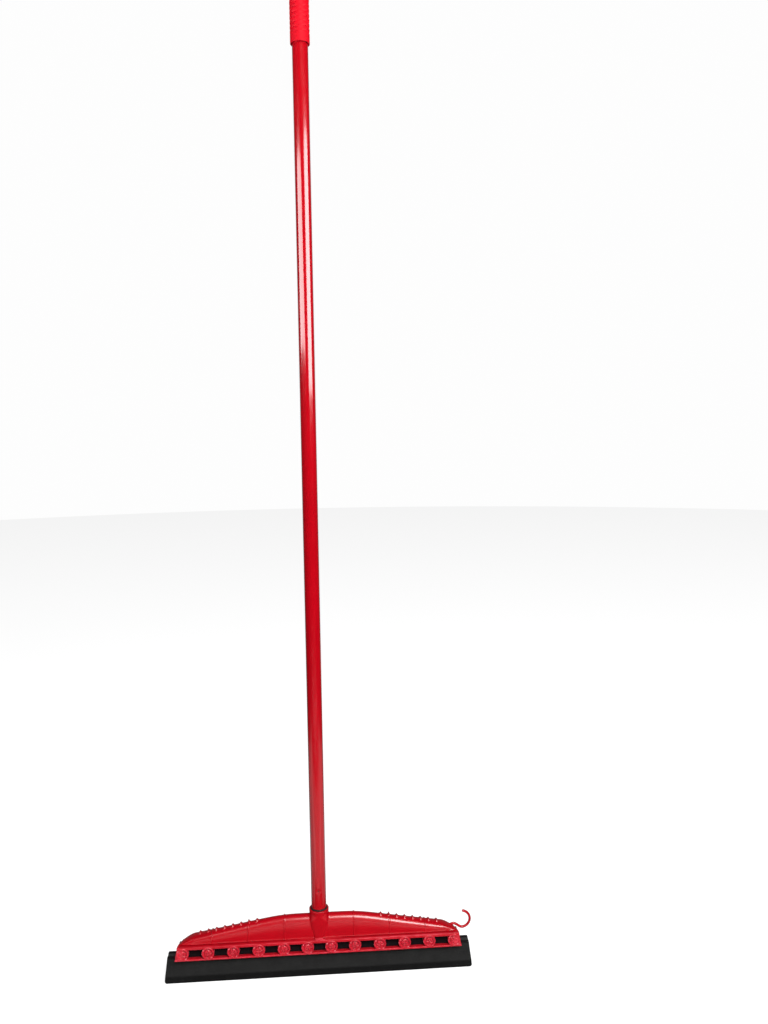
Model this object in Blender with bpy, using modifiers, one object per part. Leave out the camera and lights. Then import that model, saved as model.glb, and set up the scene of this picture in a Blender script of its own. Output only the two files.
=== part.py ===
"""Floor squeegee: arched head with two foam lips, snap rivets and a screw-in tube handle.

Metres, +Z up, +X along the head, -Y the front. The origin is on the floor below
the handle's axis. Handle and head are joined by a coarse right-handed thread.
"""
import math

import bmesh
import bpy
from mathutils import Vector

# Clearance kept between pieces that touch
GAP = 0.0003

# Foam lips
LIP_HALF_WIDTH = 0.2282
LIP_TOP_HALF_WIDTH = 0.2245
LIP_CORNER_R = 0.003
LIP_THICKNESS = 0.006
LIP_TOP_Z = 0.0499
EAR_TOP_Z = 0.0353
LIP_INNER_Y = 0.0035
LIP_KNEE_Z = 0.010
LIP_SPLAY = 0.0071
LIP_BEVEL = 0.0005
TALL_HALF_WIDTH = 0.2086
SPACER_BOTTOM_Z = 0.026

# Head moulding: rail, flange and arched shell
RAIL_BOTTOM_Z = 0.0335
RAIL_LIP_T = 0.0025
FLANGE_BOTTOM_Z = 0.0502
FLANGE_TOP_Z = 0.0543
RAIL_FRONT_Y = 0.0165
RAIL_BACK_Y = LIP_INNER_Y + LIP_THICKNESS + GAP
RAIL_HALF_BOTTOM = 0.2127
RAIL_HALF_TOP = 0.2093
REAR_ROUND_CENTRE = (0.180, -0.016)
REAR_ROUND_RADII = (0.0293, 0.034)
CLAMP_HALF = 0.2045
EDGE_R = 0.0004
DOME_TOP_Z = 0.0882
DOME_HALF_DEPTH = 0.0115
DOME_FLAT_HALF = 0.056
DOME_FLAT_BLEND = 0.009
SHOULDER_SLOPE = 0.181
DOME_END_START = 0.1844
DOME_END = 0.205
DOME_END_NARROWING = (0.15, 0.8)
DOME_END_POWER = 1.5
DOME_END_SLANT = 0.25
DOME_ROUNDNESS = 4.0
SHELL_SECTIONS = (0.0, 0.025, 0.046, 0.062, 0.076, 0.092, 0.12, 0.145, DOME_END_START)
WALL = 0.0022

# Bosses and snap rivets, one row on each side of the handle
INNER_PITCH = 0.0351
OUTER_PITCH = 0.0371
RIVET_Z = 0.044
BOSS_R = 0.0092
BOSS_FRONT_Y = 0.0171
POCKET_R = 0.0069
POCKET_DEPTH = 0.0015
SHANK_R = 0.0029
SHANK_HOLE_R = SHANK_R + GAP
TIP_R = 0.0054
SLOT = 0.0011
REAR_BOSS_R = 0.0058
REAR_BOSS_Y = 0.0150
RIVET_TURN = math.radians(37)

# Ribs and cloth teeth on the shell
RIB_X = (0.0515, 0.105, 0.1585)
RIB_WIDTH = 0.0016
RIB_HEIGHT = 0.0005
TEETH_PER_SIDE = 8
TOOTH_START = 0.0925
TOOTH_PITCH = 0.01205
TOOTH_HEIGHT = 0.0021
TOOTH_WIDTH = 0.0026
TOOTH_HALF_LENGTH = 0.0048

# Handle socket and its thread
SOCKET_TOP_Z = 0.097
SOCKET_R = 0.0146
SOCKET_WAIST_Z = 0.079
SOCKET_WAIST_R = 0.0139
SOCKET_ROUND_Z = 0.092
SOCKET_FOOT_Z = 0.0573
SOCKET_FOOT_HALF_WIDTH = 0.0076
SOCKET_FOOT_HALF_DEPTH = 0.0133
SOCKET_CORE_R = 0.0123
BORE_R = 0.00985
BORE_BOTTOM_Z = 0.0620
MOUTH_R = 0.0123
MOUTH_DEPTH = 0.0016
DRAIN_R = 0.0050
THREAD_PITCH = 0.00508
THREAD_TURNS = 4
THREAD_CREST_R = 0.0094
THREAD_CORE_R = 0.0080
SOCKET_CREST_R = 0.00835
THREAD_ROOT_WIDTH = 0.0029
THREAD_CREST_WIDTH = 0.0017
THREAD_BOTTOM_Z = 0.0685

# Handle
TUBE_R = 0.011
TUBE_WALL = 0.0007
TUBE_BOTTOM_Z = 0.0988
TUBE_TOP_Z = 1.446
INSERT_TOP_Z = 0.140
INSERT_BOTTOM_Z = 0.0648
PLUG_R = TUBE_R - TUBE_WALL - GAP
PLUG_TOP_R = 0.0090
INSERT_TIP_R = 0.0068
INSERT_HOLLOW_R = 0.0065
INSERT_HOLLOW_Z = 0.100
CRIMP_Z = 0.127
CRIMP_HOLE_R = 0.0016
GRIP_R = 0.0135
GRIP_BOTTOM_Z = 1.3323
GRIP_TOP_Z = 1.452
EYE_CENTRE_Z = 1.467
EYE_TAB_R = 0.011
EYE_TAB_T = 0.006
EYE_HOLE_R = 0.0048

# Cloth hook
HOOK_WIRE_R = 0.0018
HOOK_TIP_R = 0.0021
HOOK_ARC_R = 0.0130
HOOK_CENTRE_X = 0.2146
HOOK_CENTRE_Z = 0.0672
HOOK_ROOT_INSIDE = Vector((0.190, 0.0, 0.0566))
HOOK_ROOT_OUTSIDE = Vector((0.2015, 0.0, 0.0607))

# How far a cutter reaches past the surface that it opens
CUT_MARGIN = 0.012

RED_HEAD = (0.55, 0.005, 0.012)
RED_RAIL = (0.60, 0.008, 0.020)
RED_TUBE = (0.50, 0.003, 0.008)
RED_GRIP = (0.72, 0.012, 0.022)
FOAM_BLACK = (0.018, 0.018, 0.018)
PLASTIC_BLACK = (0.012, 0.012, 0.013)


def clear_scene():
    for old in list(bpy.data.objects):
        bpy.data.objects.remove(old, do_unlink=True)


def new_collection(name):
    collection = bpy.data.collections.new(name)
    bpy.context.scene.collection.children.link(collection)
    return collection


clear_scene()
PARTS = new_collection("floor_squeegee")
CUTTERS = new_collection("cutters")


# ---------------------------------------------------------------- tools
def material(name, colour, roughness, metallic=0.0):
    mat = bpy.data.materials.get(name) or bpy.data.materials.new(name)
    mat.use_nodes = True
    shader = mat.node_tree.nodes["Principled BSDF"]
    shader.inputs["Base Color"].default_value = (*colour, 1.0)
    shader.inputs["Roughness"].default_value = roughness
    shader.inputs["Metallic"].default_value = metallic
    mat.diffuse_color = (*colour, 1.0)
    return mat


def solid(name, bm, collection=None):
    """Turn a closed bmesh into an object with its faces pointing out."""
    bmesh.ops.recalc_face_normals(bm, faces=bm.faces)
    if bm.calc_volume(signed=True) < 0:
        bmesh.ops.reverse_faces(bm, faces=bm.faces)
    mesh = bpy.data.meshes.new(name)
    bm.to_mesh(mesh)
    bm.free()
    obj = bpy.data.objects.new(name, mesh)
    (collection or CUTTERS).objects.link(obj)
    if collection is None:
        obj.hide_render = True
        obj.display_type = "WIRE"
    return obj


def finish(obj, mat, angle=35):
    """Give a part its material and smooth shading with crisp edges."""
    obj.data.materials.clear()
    obj.data.materials.append(mat)
    obj.data.shade_smooth()
    obj.data.set_sharp_from_angle(angle=math.radians(angle))


def bake(obj):
    """Replace an object's mesh by its evaluated mesh and drop the modifiers."""
    bpy.context.view_layer.update()
    graph = bpy.context.evaluated_depsgraph_get()
    mesh = bpy.data.meshes.new_from_object(obj.evaluated_get(graph))
    old = obj.data
    obj.modifiers.clear()
    obj.data = mesh
    bpy.data.meshes.remove(old)
    mesh.name = obj.name


def combine(obj, tool, operation):
    mod = obj.modifiers.new(operation.lower() + "_" + tool.name, "BOOLEAN")
    mod.operation = operation
    mod.object = tool
    mod.solver = "EXACT"


def add_loft(bm, rings):
    """Skin a list of point rings and cap both ends."""
    made = [[bm.verts.new(p) for p in ring] for ring in rings]
    count = len(made[0])
    for low, high in zip(made, made[1:]):
        for i in range(count):
            j = (i + 1) % count
            bm.faces.new((low[i], low[j], high[j], high[i]))
    bm.faces.new(list(reversed(made[0])))
    bm.faces.new(made[-1])


def add_prism(bm, outline, low, high, axis, bevel=0.0):
    """Extrude an outline along an axis; the outline holds the other two coordinates."""
    def place(point, along):
        coords = list(point)
        coords.insert("XYZ".index(axis), along)
        return Vector(coords)

    part = bmesh.new()
    add_loft(part, [[place(p, low) for p in outline], [place(p, high) for p in outline]])
    bmesh.ops.recalc_face_normals(part, faces=part.faces)
    if bevel:
        bmesh.ops.bevel(part, geom=part.edges[:], offset=bevel, segments=1, affect="EDGES")
    merge_into(bm, part)


def merge_into(bm, part):
    mesh = bpy.data.meshes.new("merge")
    part.to_mesh(mesh)
    part.free()
    bm.from_mesh(mesh)
    bpy.data.meshes.remove(mesh)


def rectangle(u0, u1, v0, v1):
    return [(u0, v0), (u1, v0), (u1, v1), (u0, v1)]


def add_rod(bm, radius, start, end, segments):
    """Add a capped cylinder between two points."""
    start, end = Vector(start), Vector(end)
    along = end - start
    turn = along.to_track_quat("Z", "Y").to_matrix().to_4x4()
    turn.translation = (start + end) / 2
    bmesh.ops.create_cone(bm, cap_ends=True, segments=segments, radius1=radius,
                          radius2=radius, depth=along.length, matrix=turn)


def turned(name, profile, segments, collection=None):
    """Turn an (r, z) profile about Z. Profiles that close on themselves make a ring."""
    on_axis = profile[0][0] == 0.0
    mesh = bpy.data.meshes.new(name)
    count = len(profile)
    edges = [(i, i + 1) for i in range(count - 1)]
    if not on_axis:
        edges.append((count - 1, 0))
    mesh.from_pydata([(r, 0.0, z) for r, z in profile], edges, [])
    holder = bpy.data.objects.new(name, mesh)
    PARTS.objects.link(holder)
    screw = holder.modifiers.new("turn", "SCREW")
    screw.steps = screw.render_steps = segments
    screw.use_merge_vertices = True
    screw.merge_threshold = 0.00001
    bake(holder)
    bm = bmesh.new()
    bm.from_mesh(holder.data)
    bpy.data.objects.remove(holder, do_unlink=True)
    return solid(name, bm, collection)


def rivet_positions():
    right = [INNER_PITCH / 2, INNER_PITCH * 1.5]
    while len(right) < 6:
        right.append(right[-1] + OUTER_PITCH)
    return [-x for x in reversed(right)] + right


def add_thread(bm, inner_r, outer_r, inner_width, outer_width, bottom, turns, phase):
    """Add one right-handed helical ridge, trapezoidal in section."""
    steps = 14
    rings = []
    for i in range(turns * steps + 1):
        angle = phase + math.tau * i / steps
        mid = bottom + THREAD_PITCH * i / steps
        corners = ((inner_r, -inner_width), (outer_r, -outer_width),
                   (outer_r, outer_width), (inner_r, inner_width))
        rings.append([Vector((r * math.cos(angle), r * math.sin(angle), mid + w / 2))
                      for r, w in corners])
    add_loft(bm, rings)


# ---------------------------------------------------------------- foam blade
def blade_outline():
    """Front view of a lip: flared ends, round bottom corners, low ears past the rail."""
    side = LIP_HALF_WIDTH
    right = []
    for i in range(4):
        a = math.radians(-90 + 30 * i)
        right.append((side - LIP_CORNER_R + LIP_CORNER_R * math.cos(a),
                      LIP_CORNER_R + LIP_CORNER_R * math.sin(a)))
    right += [(LIP_TOP_HALF_WIDTH, EAR_TOP_Z), (TALL_HALF_WIDTH, EAR_TOP_Z),
              (TALL_HALF_WIDTH, LIP_TOP_Z)]
    return right + [(-x, z) for x, z in reversed(right)]


def lip_section(side):
    """Side view of a lip: upright in the clamp, splayed below it, bevelled at the tip."""
    inner, outer = [], []
    for i in range(5):
        z = RAIL_BOTTOM_Z + (LIP_KNEE_Z - RAIL_BOTTOM_Z) * i / 4
        shift = LIP_SPLAY * (i / 4) ** 1.4
        inner.append((LIP_INNER_Y + shift, z))
        outer.append((LIP_INNER_Y + LIP_THICKNESS + shift, z))
    tip = LIP_INNER_Y + LIP_SPLAY
    top = [(LIP_INNER_Y + LIP_THICKNESS, LIP_TOP_Z), (LIP_INNER_Y, LIP_TOP_Z)]
    points = top + inner + [(tip - 0.0008, 0.0), (tip + LIP_THICKNESS - LIP_BEVEL, 0.0)]
    points += list(reversed(outer))
    return [(side * y, z) for y, z in points]


def rivet_holes():
    bm = bmesh.new()
    for x in rivet_positions():
        add_rod(bm, SHANK_HOLE_R, (x, -0.02, RIVET_Z), (x, 0.02, RIVET_Z), 12)
    return solid("rivet_hole_cutter", bm)


def blade_layer(name, section, mat, outline_cutter, holes):
    bm = bmesh.new()
    reach = LIP_HALF_WIDTH + 0.01
    add_prism(bm, section, -reach, reach, "X")
    obj = solid(name, bm, PARTS)
    combine(obj, outline_cutter, "INTERSECT")
    combine(obj, holes, "DIFFERENCE")
    bake(obj)
    finish(obj, mat)


def make_blade(holes):
    bm = bmesh.new()
    add_prism(bm, blade_outline(), -0.03, 0.03, "Y")
    outline_cutter = solid("blade_outline_cutter", bm)
    foam = material("foam_rubber", FOAM_BLACK, 0.85)
    blade_layer("front_foam_lip", lip_section(-1), foam, outline_cutter, holes)
    blade_layer("rear_foam_lip", lip_section(1), foam, outline_cutter, holes)
    half = LIP_INNER_Y - GAP
    spacer = rectangle(-half, half, SPACER_BOTTOM_Z, LIP_TOP_Z)
    blade_layer("centre_spacer", spacer, material("spacer_plastic", PLASTIC_BLACK, 0.6),
                outline_cutter, holes)


# ---------------------------------------------------------------- head moulding
def shoulder_height(x):
    """Height of the shell's crest before its ends round off: flat, then a straight fall."""
    past = (abs(x) - DOME_FLAT_HALF) / DOME_FLAT_BLEND
    ramp = DOME_FLAT_BLEND * (math.log1p(math.exp(-abs(past))) + max(past, 0.0))
    return DOME_TOP_Z - SHOULDER_SLOPE * ramp


def end_fraction(x):
    reach = DOME_END - DOME_END_START
    return min(max(abs(x) - DOME_END_START, 0.0) / reach, 1.0)


def crest_height(x):
    drop = (1 - end_fraction(x) ** DOME_END_POWER) ** (1 / DOME_END_POWER)
    return FLANGE_TOP_Z + (shoulder_height(x) - FLANGE_TOP_Z) * drop


def half_depth(x, side):
    """Depth of the shell before (0) or behind (1) its middle plane."""
    return DOME_HALF_DEPTH * (1 - DOME_END_NARROWING[side] * end_fraction(x) ** 2)


def arch_ring(x, base, inset, points):
    """One cross-section of the arched shell at x, closed along its base."""
    height = max(crest_height(x) - inset - base, 0.0005)
    slant = math.copysign(DOME_END_SLANT * end_fraction(x) ** 2, x)
    ring = []
    for i in range(points + 1):
        t = math.pi * i / points
        rise = max(math.sin(t), 0.0) ** (2 / DOME_ROUNDNESS)
        depth = max(half_depth(x, 0 if 2 * i < points else 1) - inset, 0.0003)
        y = -depth * math.cos(t)
        ring.append(Vector((x - slant * y, y, base + height * rise)))
    return ring


def shell_stations(end):
    """Section positions: sparse along the shoulders, closer together towards the round end."""
    bends = 6
    curved = [DOME_END_START + (end - DOME_END_START) * math.sin(math.pi / 2 * i / bends)
              for i in range(1, bends + 1)]
    half = list(SHELL_SECTIONS) + curved
    return [-x for x in reversed(half[1:])] + half


def rib_stations():
    """Section positions with their raise: thin bands that cross the shell."""
    stations = []
    for x in [side * v for side in (-1, 1) for v in RIB_X]:
        for offset, height in ((-1.6, 0.0), (-1, RIB_HEIGHT), (1, RIB_HEIGHT), (1.6, 0.0)):
            stations.append((x + offset * RIB_WIDTH / 2, height))
    return stations


def arch(name, base, inset, end, points, ribs=False, collection=None):
    stations = [(x, 0.0) for x in shell_stations(end)]
    if ribs:
        stations = sorted(stations + rib_stations())
    bm = bmesh.new()
    add_loft(bm, [arch_ring(x, base, inset - height, points) for x, height in stations])
    return solid(name, bm, collection)


def rail_half_width(z):
    share = (z - RAIL_BOTTOM_Z) / (FLANGE_TOP_Z - RAIL_BOTTOM_Z)
    return RAIL_HALF_BOTTOM + (RAIL_HALF_TOP - RAIL_HALF_BOTTOM) * share


def rail_strip(z0, z1):
    a, b = rail_half_width(z0), rail_half_width(z1)
    return [(-a, z0), (a, z0), (b, z1), (-b, z1)]


def rear_corners():
    """What is outside the elliptic rounding of the flange's two rear corners."""
    bm = bmesh.new()
    (x0, y0), (reach_x, reach_y) = REAR_ROUND_CENTRE, REAR_ROUND_RADII
    steps = 8
    for side in (-1, 1):
        curve = [math.pi / 2 * i / steps for i in range(steps + 1)]
        outline = [(side * (x0 + reach_x * math.cos(a)), y0 + reach_y * math.sin(a))
                   for a in curve]
        outline += [(side * x0, RAIL_FRONT_Y + CUT_MARGIN),
                    (side * (RAIL_HALF_BOTTOM + CUT_MARGIN), RAIL_FRONT_Y + CUT_MARGIN),
                    (side * (RAIL_HALF_BOTTOM + CUT_MARGIN), y0)]
        add_prism(bm, outline, FLANGE_BOTTOM_Z - CUT_MARGIN, FLANGE_TOP_Z + CUT_MARGIN, "Z")
    return solid("rear_corners", bm)


def head_flange():
    bm = bmesh.new()
    add_prism(bm, rail_strip(FLANGE_BOTTOM_Z, FLANGE_TOP_Z), -RAIL_FRONT_Y, RAIL_FRONT_Y,
              "Y", EDGE_R)
    flange = solid("flange_block", bm)
    combine(flange, rear_corners(), "DIFFERENCE")
    return flange


def front_rail_strip():
    bm = bmesh.new()
    add_prism(bm, rail_strip(RAIL_BOTTOM_Z, RAIL_BOTTOM_Z + RAIL_LIP_T),
              -RAIL_FRONT_Y, -RAIL_BACK_Y, "Y", EDGE_R)
    return solid("front_rail_strip", bm)


def front_bosses():
    bm = bmesh.new()
    for x in rivet_positions():
        add_rod(bm, BOSS_R, (x, -RAIL_BACK_Y, RIVET_Z), (x, -BOSS_FRONT_Y, RIVET_Z), 20)
    return solid("front_bosses", bm)


def rail_ends():
    """Solid blocks that close the rail outside the last bosses."""
    bm = bmesh.new()
    z0, z1 = RAIL_BOTTOM_Z + 0.001, FLANGE_BOTTOM_Z + 0.001
    x0 = rivet_positions()[-1]
    for side in (-1, 1):
        outline = [(side * x0, z0), (side * (rail_half_width(z0) - EDGE_R), z0),
                   (side * (rail_half_width(z1) - EDGE_R), z1), (side * x0, z1)]
        add_prism(bm, outline, -RAIL_FRONT_Y + 0.0008, -RAIL_BACK_Y - 0.0002, "Y")
    return solid("rail_ends", bm)


def boss_pockets():
    """Blind pocket in each boss face, with the rivet's hole at its centre."""
    bm = bmesh.new()
    floor = BOSS_FRONT_Y - POCKET_DEPTH
    for x in rivet_positions():
        add_rod(bm, POCKET_R, (x, -floor, RIVET_Z), (x, -0.02, RIVET_Z), 16)
    return solid("boss_pockets", bm)


def cloth_teeth():
    """Short cross ridges on both shoulders that hold a floor cloth."""
    bm = bmesh.new()
    for side in (-1, 1):
        for i in range(TEETH_PER_SIDE):
            x = side * (TOOTH_START + TOOTH_PITCH * i)
            z = crest_height(x)
            outline = [(x - TOOTH_WIDTH, z - 0.0015), (x + TOOTH_WIDTH, z - 0.0015),
                       (x + TOOTH_WIDTH * 0.25, z + TOOTH_HEIGHT),
                       (x - TOOTH_WIDTH * 0.25, z + TOOTH_HEIGHT)]
            add_prism(bm, outline, -TOOTH_HALF_LENGTH, TOOTH_HALF_LENGTH, "Y")
    return solid("cloth_teeth", bm)


def socket_ring(z, width, depth, exponent, points=24):
    """Horizontal section of the socket: a superellipse of half sides width and depth."""
    ring = []
    for i in range(points):
        t = math.tau * i / points
        c, s = math.cos(t), math.sin(t)
        ring.append(Vector((width * math.copysign(abs(c) ** (2 / exponent), c),
                            depth * math.copysign(abs(s) ** (2 / exponent), s), z)))
    return ring


def socket_body():
    """Round mouth that narrows into a flat-fronted buttress on the shell."""
    rings = []
    levels = 5
    for i in range(levels + 1):
        share = i / levels
        z = SOCKET_FOOT_Z + (SOCKET_WAIST_Z - SOCKET_FOOT_Z) * share
        width = SOCKET_FOOT_HALF_WIDTH + (SOCKET_WAIST_R - SOCKET_FOOT_HALF_WIDTH) * share
        depth = SOCKET_FOOT_HALF_DEPTH + (SOCKET_WAIST_R - SOCKET_FOOT_HALF_DEPTH) * share
        rings.append(socket_ring(z, width, depth, 5 - share))
    rings.append(socket_ring(SOCKET_ROUND_Z, SOCKET_R, SOCKET_R, 2))
    chamfer = 0.0006
    rings.append(socket_ring(SOCKET_TOP_Z - chamfer, SOCKET_R, SOCKET_R, 2))
    rings.append(socket_ring(SOCKET_TOP_Z, SOCKET_R - chamfer, SOCKET_R - chamfer, 2))
    bm = bmesh.new()
    add_loft(bm, rings)
    return solid("socket_body", bm)


def socket_core():
    bm = bmesh.new()
    add_rod(bm, SOCKET_CORE_R, (0, 0, SOCKET_FOOT_Z + 0.0009), (0, 0, SOCKET_WAIST_Z + 0.006), 28)
    return solid("socket_core", bm)


def socket_bore():
    """Threaded bore with a wide mouth above and a drain hole below."""
    ledge = SOCKET_TOP_Z - MOUTH_DEPTH
    above, below = SOCKET_TOP_Z + CUT_MARGIN, BORE_BOTTOM_Z - CUT_MARGIN
    profile = [(0.0, above), (MOUTH_R, above), (MOUTH_R, ledge), (BORE_R, ledge),
               (BORE_R, BORE_BOTTOM_Z), (DRAIN_R, BORE_BOTTOM_Z), (DRAIN_R, below), (0.0, below)]
    return turned("socket_bore", profile, 28)


def socket_thread():
    bm = bmesh.new()
    add_thread(bm, SOCKET_CREST_R, BORE_R + 0.0004, THREAD_CREST_WIDTH, THREAD_ROOT_WIDTH,
               THREAD_BOTTOM_Z, THREAD_TURNS, math.pi)
    return solid("socket_thread", bm)


def hook_hole():
    bm = bmesh.new()
    along = (HOOK_ROOT_OUTSIDE - HOOK_ROOT_INSIDE).normalized()
    add_rod(bm, HOOK_WIRE_R + GAP, HOOK_ROOT_INSIDE + along * 0.003,
            HOOK_ROOT_OUTSIDE + along * 0.004, 16)
    return solid("hook_hole", bm)


def make_head(holes):
    head = arch("head_shell", FLANGE_TOP_Z - 0.002, 0.0, DOME_END, 14, True, PARTS)
    for tool in (cloth_teeth(), head_flange(), front_rail_strip()):
        combine(head, tool, "UNION")
    hollow = arch("shell_hollow", RAIL_BOTTOM_Z + 0.012, WALL, DOME_END - WALL, 10)
    combine(head, hollow, "DIFFERENCE")
    for tool in (rail_ends(), front_bosses(), socket_body(), socket_core()):
        combine(head, tool, "UNION")
    for tool in (boss_pockets(), holes, socket_bore(), hook_hole()):
        combine(head, tool, "DIFFERENCE")
    combine(head, socket_thread(), "UNION")
    bake(head)
    finish(head, material("head_plastic", RED_HEAD, 0.35))


# ---------------------------------------------------------------- rear clamp and rivets
def make_rear_clamp(holes):
    """Channel-shaped bar that squeezes the blade against the front rail."""
    top = FLANGE_BOTTOM_Z - GAP
    web_back = RAIL_BACK_Y + WALL
    bm = bmesh.new()
    section = [(RAIL_BACK_Y, RAIL_BOTTOM_Z), (REAR_BOSS_Y, RAIL_BOTTOM_Z),
               (REAR_BOSS_Y, RAIL_BOTTOM_Z + WALL), (web_back, RAIL_BOTTOM_Z + WALL),
               (web_back, top - WALL), (REAR_BOSS_Y, top - WALL), (REAR_BOSS_Y, top),
               (RAIL_BACK_Y, top)]
    add_prism(bm, section, -CLAMP_HALF, CLAMP_HALF, "X")
    clamp = solid("rear_clamp_bar", bm, PARTS)
    bm = bmesh.new()
    for x in rivet_positions():
        add_rod(bm, REAR_BOSS_R, (x, RAIL_BACK_Y + 0.0005, RIVET_Z), (x, REAR_BOSS_Y, RIVET_Z), 16)
    combine(clamp, solid("rear_bosses", bm), "UNION")
    combine(clamp, holes, "DIFFERENCE")
    bake(clamp)
    finish(clamp, material("rail_plastic", RED_RAIL, 0.38))


def slot_cutter(name, x, turn):
    """A straight slot across a rivet's tip, turned about the rivet's axis."""
    along = Vector((math.cos(turn), 0.0, math.sin(turn))) * POCKET_R
    across = Vector((-math.sin(turn), 0.0, math.cos(turn))) * SLOT / 2
    front = Vector((x, -BOSS_FRONT_Y - 0.002, RIVET_Z))
    floor = Vector((x, -BOSS_FRONT_Y + POCKET_DEPTH + 0.0008, RIVET_Z))
    bm = bmesh.new()
    add_loft(bm, [[c + along + across, c - along + across, c - along - across,
                   c + along - across] for c in (front, floor)])
    return solid(name, bm)


def make_rivets():
    """Snap rivets: flat head at the rear, split four-lobed tip showing in the front boss."""
    mat = material("rivet_plastic", RED_RAIL, 0.4)
    floor = BOSS_FRONT_Y - POCKET_DEPTH
    head_y = REAR_BOSS_Y + GAP
    profile = [(0.0, BOSS_FRONT_Y), (TIP_R * 0.82, BOSS_FRONT_Y),
               (TIP_R, BOSS_FRONT_Y - 0.0006), (TIP_R, floor + GAP), (SHANK_R, floor + GAP),
               (SHANK_R, -head_y), (TIP_R, -head_y), (TIP_R, -BOSS_FRONT_Y + 0.0005),
               (TIP_R - 0.0005, -BOSS_FRONT_Y), (0.0, -BOSS_FRONT_Y)]
    for i, x in enumerate(rivet_positions()):
        name = f"snap_rivet_{i + 1:02d}"
        rivet = turned(name, profile, 12, PARTS)
        rivet.rotation_euler = (math.pi / 2, RIVET_TURN * i, 0.0)
        rivet.location = (x, 0.0, RIVET_Z)
        for suffix, turn in (("a", RIVET_TURN * i), ("b", RIVET_TURN * i + math.pi / 2)):
            combine(rivet, slot_cutter(f"slot_{i + 1:02d}_{suffix}", x, turn), "DIFFERENCE")
        bake(rivet)
        finish(rivet, mat)


# ---------------------------------------------------------------- handle
def make_washer():
    top = TUBE_BOTTOM_Z - GAP
    bottom = SOCKET_TOP_Z - MOUTH_DEPTH + GAP
    inner, outer = THREAD_CREST_R + GAP, MOUTH_R - GAP
    edge = 0.0003
    profile = [(inner, bottom), (inner, top), (outer - edge, top), (outer, top - edge),
               (outer, bottom)]
    washer = turned("socket_washer", profile, 32, PARTS)
    finish(washer, material("washer_rubber", PLASTIC_BLACK, 0.55))


def make_insert():
    """Threaded plug that the tube is punched on to."""
    neck_bottom = THREAD_BOTTOM_Z + THREAD_PITCH * (THREAD_TURNS + 0.75)
    plug_bottom = TUBE_BOTTOM_Z + GAP
    profile = [(0.0, INSERT_BOTTOM_Z), (INSERT_TIP_R, INSERT_BOTTOM_Z),
               (THREAD_CORE_R, INSERT_BOTTOM_Z + 0.0012), (THREAD_CORE_R, neck_bottom),
               (THREAD_CREST_R, neck_bottom + 0.0008), (THREAD_CREST_R, plug_bottom),
               (PLUG_R, plug_bottom), (PLUG_R, INSERT_TOP_Z - 0.002),
               (PLUG_TOP_R, INSERT_TOP_Z), (INSERT_HOLLOW_R, INSERT_TOP_Z),
               (INSERT_HOLLOW_R, INSERT_HOLLOW_Z), (0.0, INSERT_HOLLOW_Z - 0.002)]
    insert = turned("thread_insert", profile, 28, PARTS)
    bm = bmesh.new()
    add_thread(bm, THREAD_CORE_R - 0.0004, THREAD_CREST_R, THREAD_ROOT_WIDTH,
               THREAD_CREST_WIDTH, THREAD_BOTTOM_Z, THREAD_TURNS, 0.0)
    combine(insert, solid("insert_thread", bm), "UNION")
    bm = bmesh.new()
    add_rod(bm, CRIMP_HOLE_R - GAP, (0, -0.0090, CRIMP_Z), (0, -TUBE_R + 0.0004, CRIMP_Z), 16)
    combine(insert, solid("insert_nub", bm), "UNION")
    bake(insert)
    finish(insert, material("insert_plastic", PLASTIC_BLACK, 0.45))


def make_tube():
    inner = TUBE_R - TUBE_WALL
    profile = [(inner, TUBE_BOTTOM_Z), (inner, TUBE_TOP_Z), (TUBE_R, TUBE_TOP_Z),
               (TUBE_R, TUBE_BOTTOM_Z)]
    tube = turned("handle_tube", profile, 40, PARTS)
    bm = bmesh.new()
    add_rod(bm, CRIMP_HOLE_R, (0, -0.0080, CRIMP_Z), (0, -0.014, CRIMP_Z), 16)
    combine(tube, solid("crimp_hole_cutter", bm), "DIFFERENCE")
    bake(tube)
    finish(tube, material("tube_enamel", RED_TUBE, 0.22))


def make_grip():
    """Sleeve closed at the top, with a flat tab and hanging eye."""
    inner = TUBE_R + GAP
    round_r = 0.0025
    profile = [(inner, GRIP_BOTTOM_Z), (inner, TUBE_TOP_Z + 0.002), (0.0, TUBE_TOP_Z + 0.002)]
    profile.reverse()
    profile += [(GRIP_R - 0.0006, GRIP_BOTTOM_Z), (GRIP_R, GRIP_BOTTOM_Z + 0.0006)]
    for i in range(4):
        a = math.radians(30 * i)
        profile.append((GRIP_R - round_r + round_r * math.cos(a),
                        GRIP_TOP_Z - round_r + round_r * math.sin(a)))
    profile.append((0.0, GRIP_TOP_Z))
    grip = turned("hand_grip", profile, 32, PARTS)
    outline = [(-EYE_TAB_R, GRIP_TOP_Z - 0.002), (EYE_TAB_R, GRIP_TOP_Z - 0.002)]
    for i in range(13):
        a = math.pi * i / 12
        outline.append((EYE_TAB_R * math.cos(a), EYE_CENTRE_Z + EYE_TAB_R * math.sin(a)))
    bm = bmesh.new()
    add_prism(bm, outline, -EYE_TAB_T / 2, EYE_TAB_T / 2, "Y", 0.0008)
    combine(grip, solid("eye_tab", bm), "UNION")
    bm = bmesh.new()
    add_rod(bm, EYE_HOLE_R, (0, -0.01, EYE_CENTRE_Z), (0, 0.01, EYE_CENTRE_Z), 24)
    combine(grip, solid("eye_hole_cutter", bm), "DIFFERENCE")
    bake(grip)
    finish(grip, material("grip_plastic", RED_GRIP, 0.45))


# ---------------------------------------------------------------- cloth hook
def bezier(p0, p1, p2, p3, t):
    u = 1 - t
    return p0 * u ** 3 + p1 * 3 * u * u * t + p2 * 3 * u * t * t + p3 * t ** 3


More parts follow.
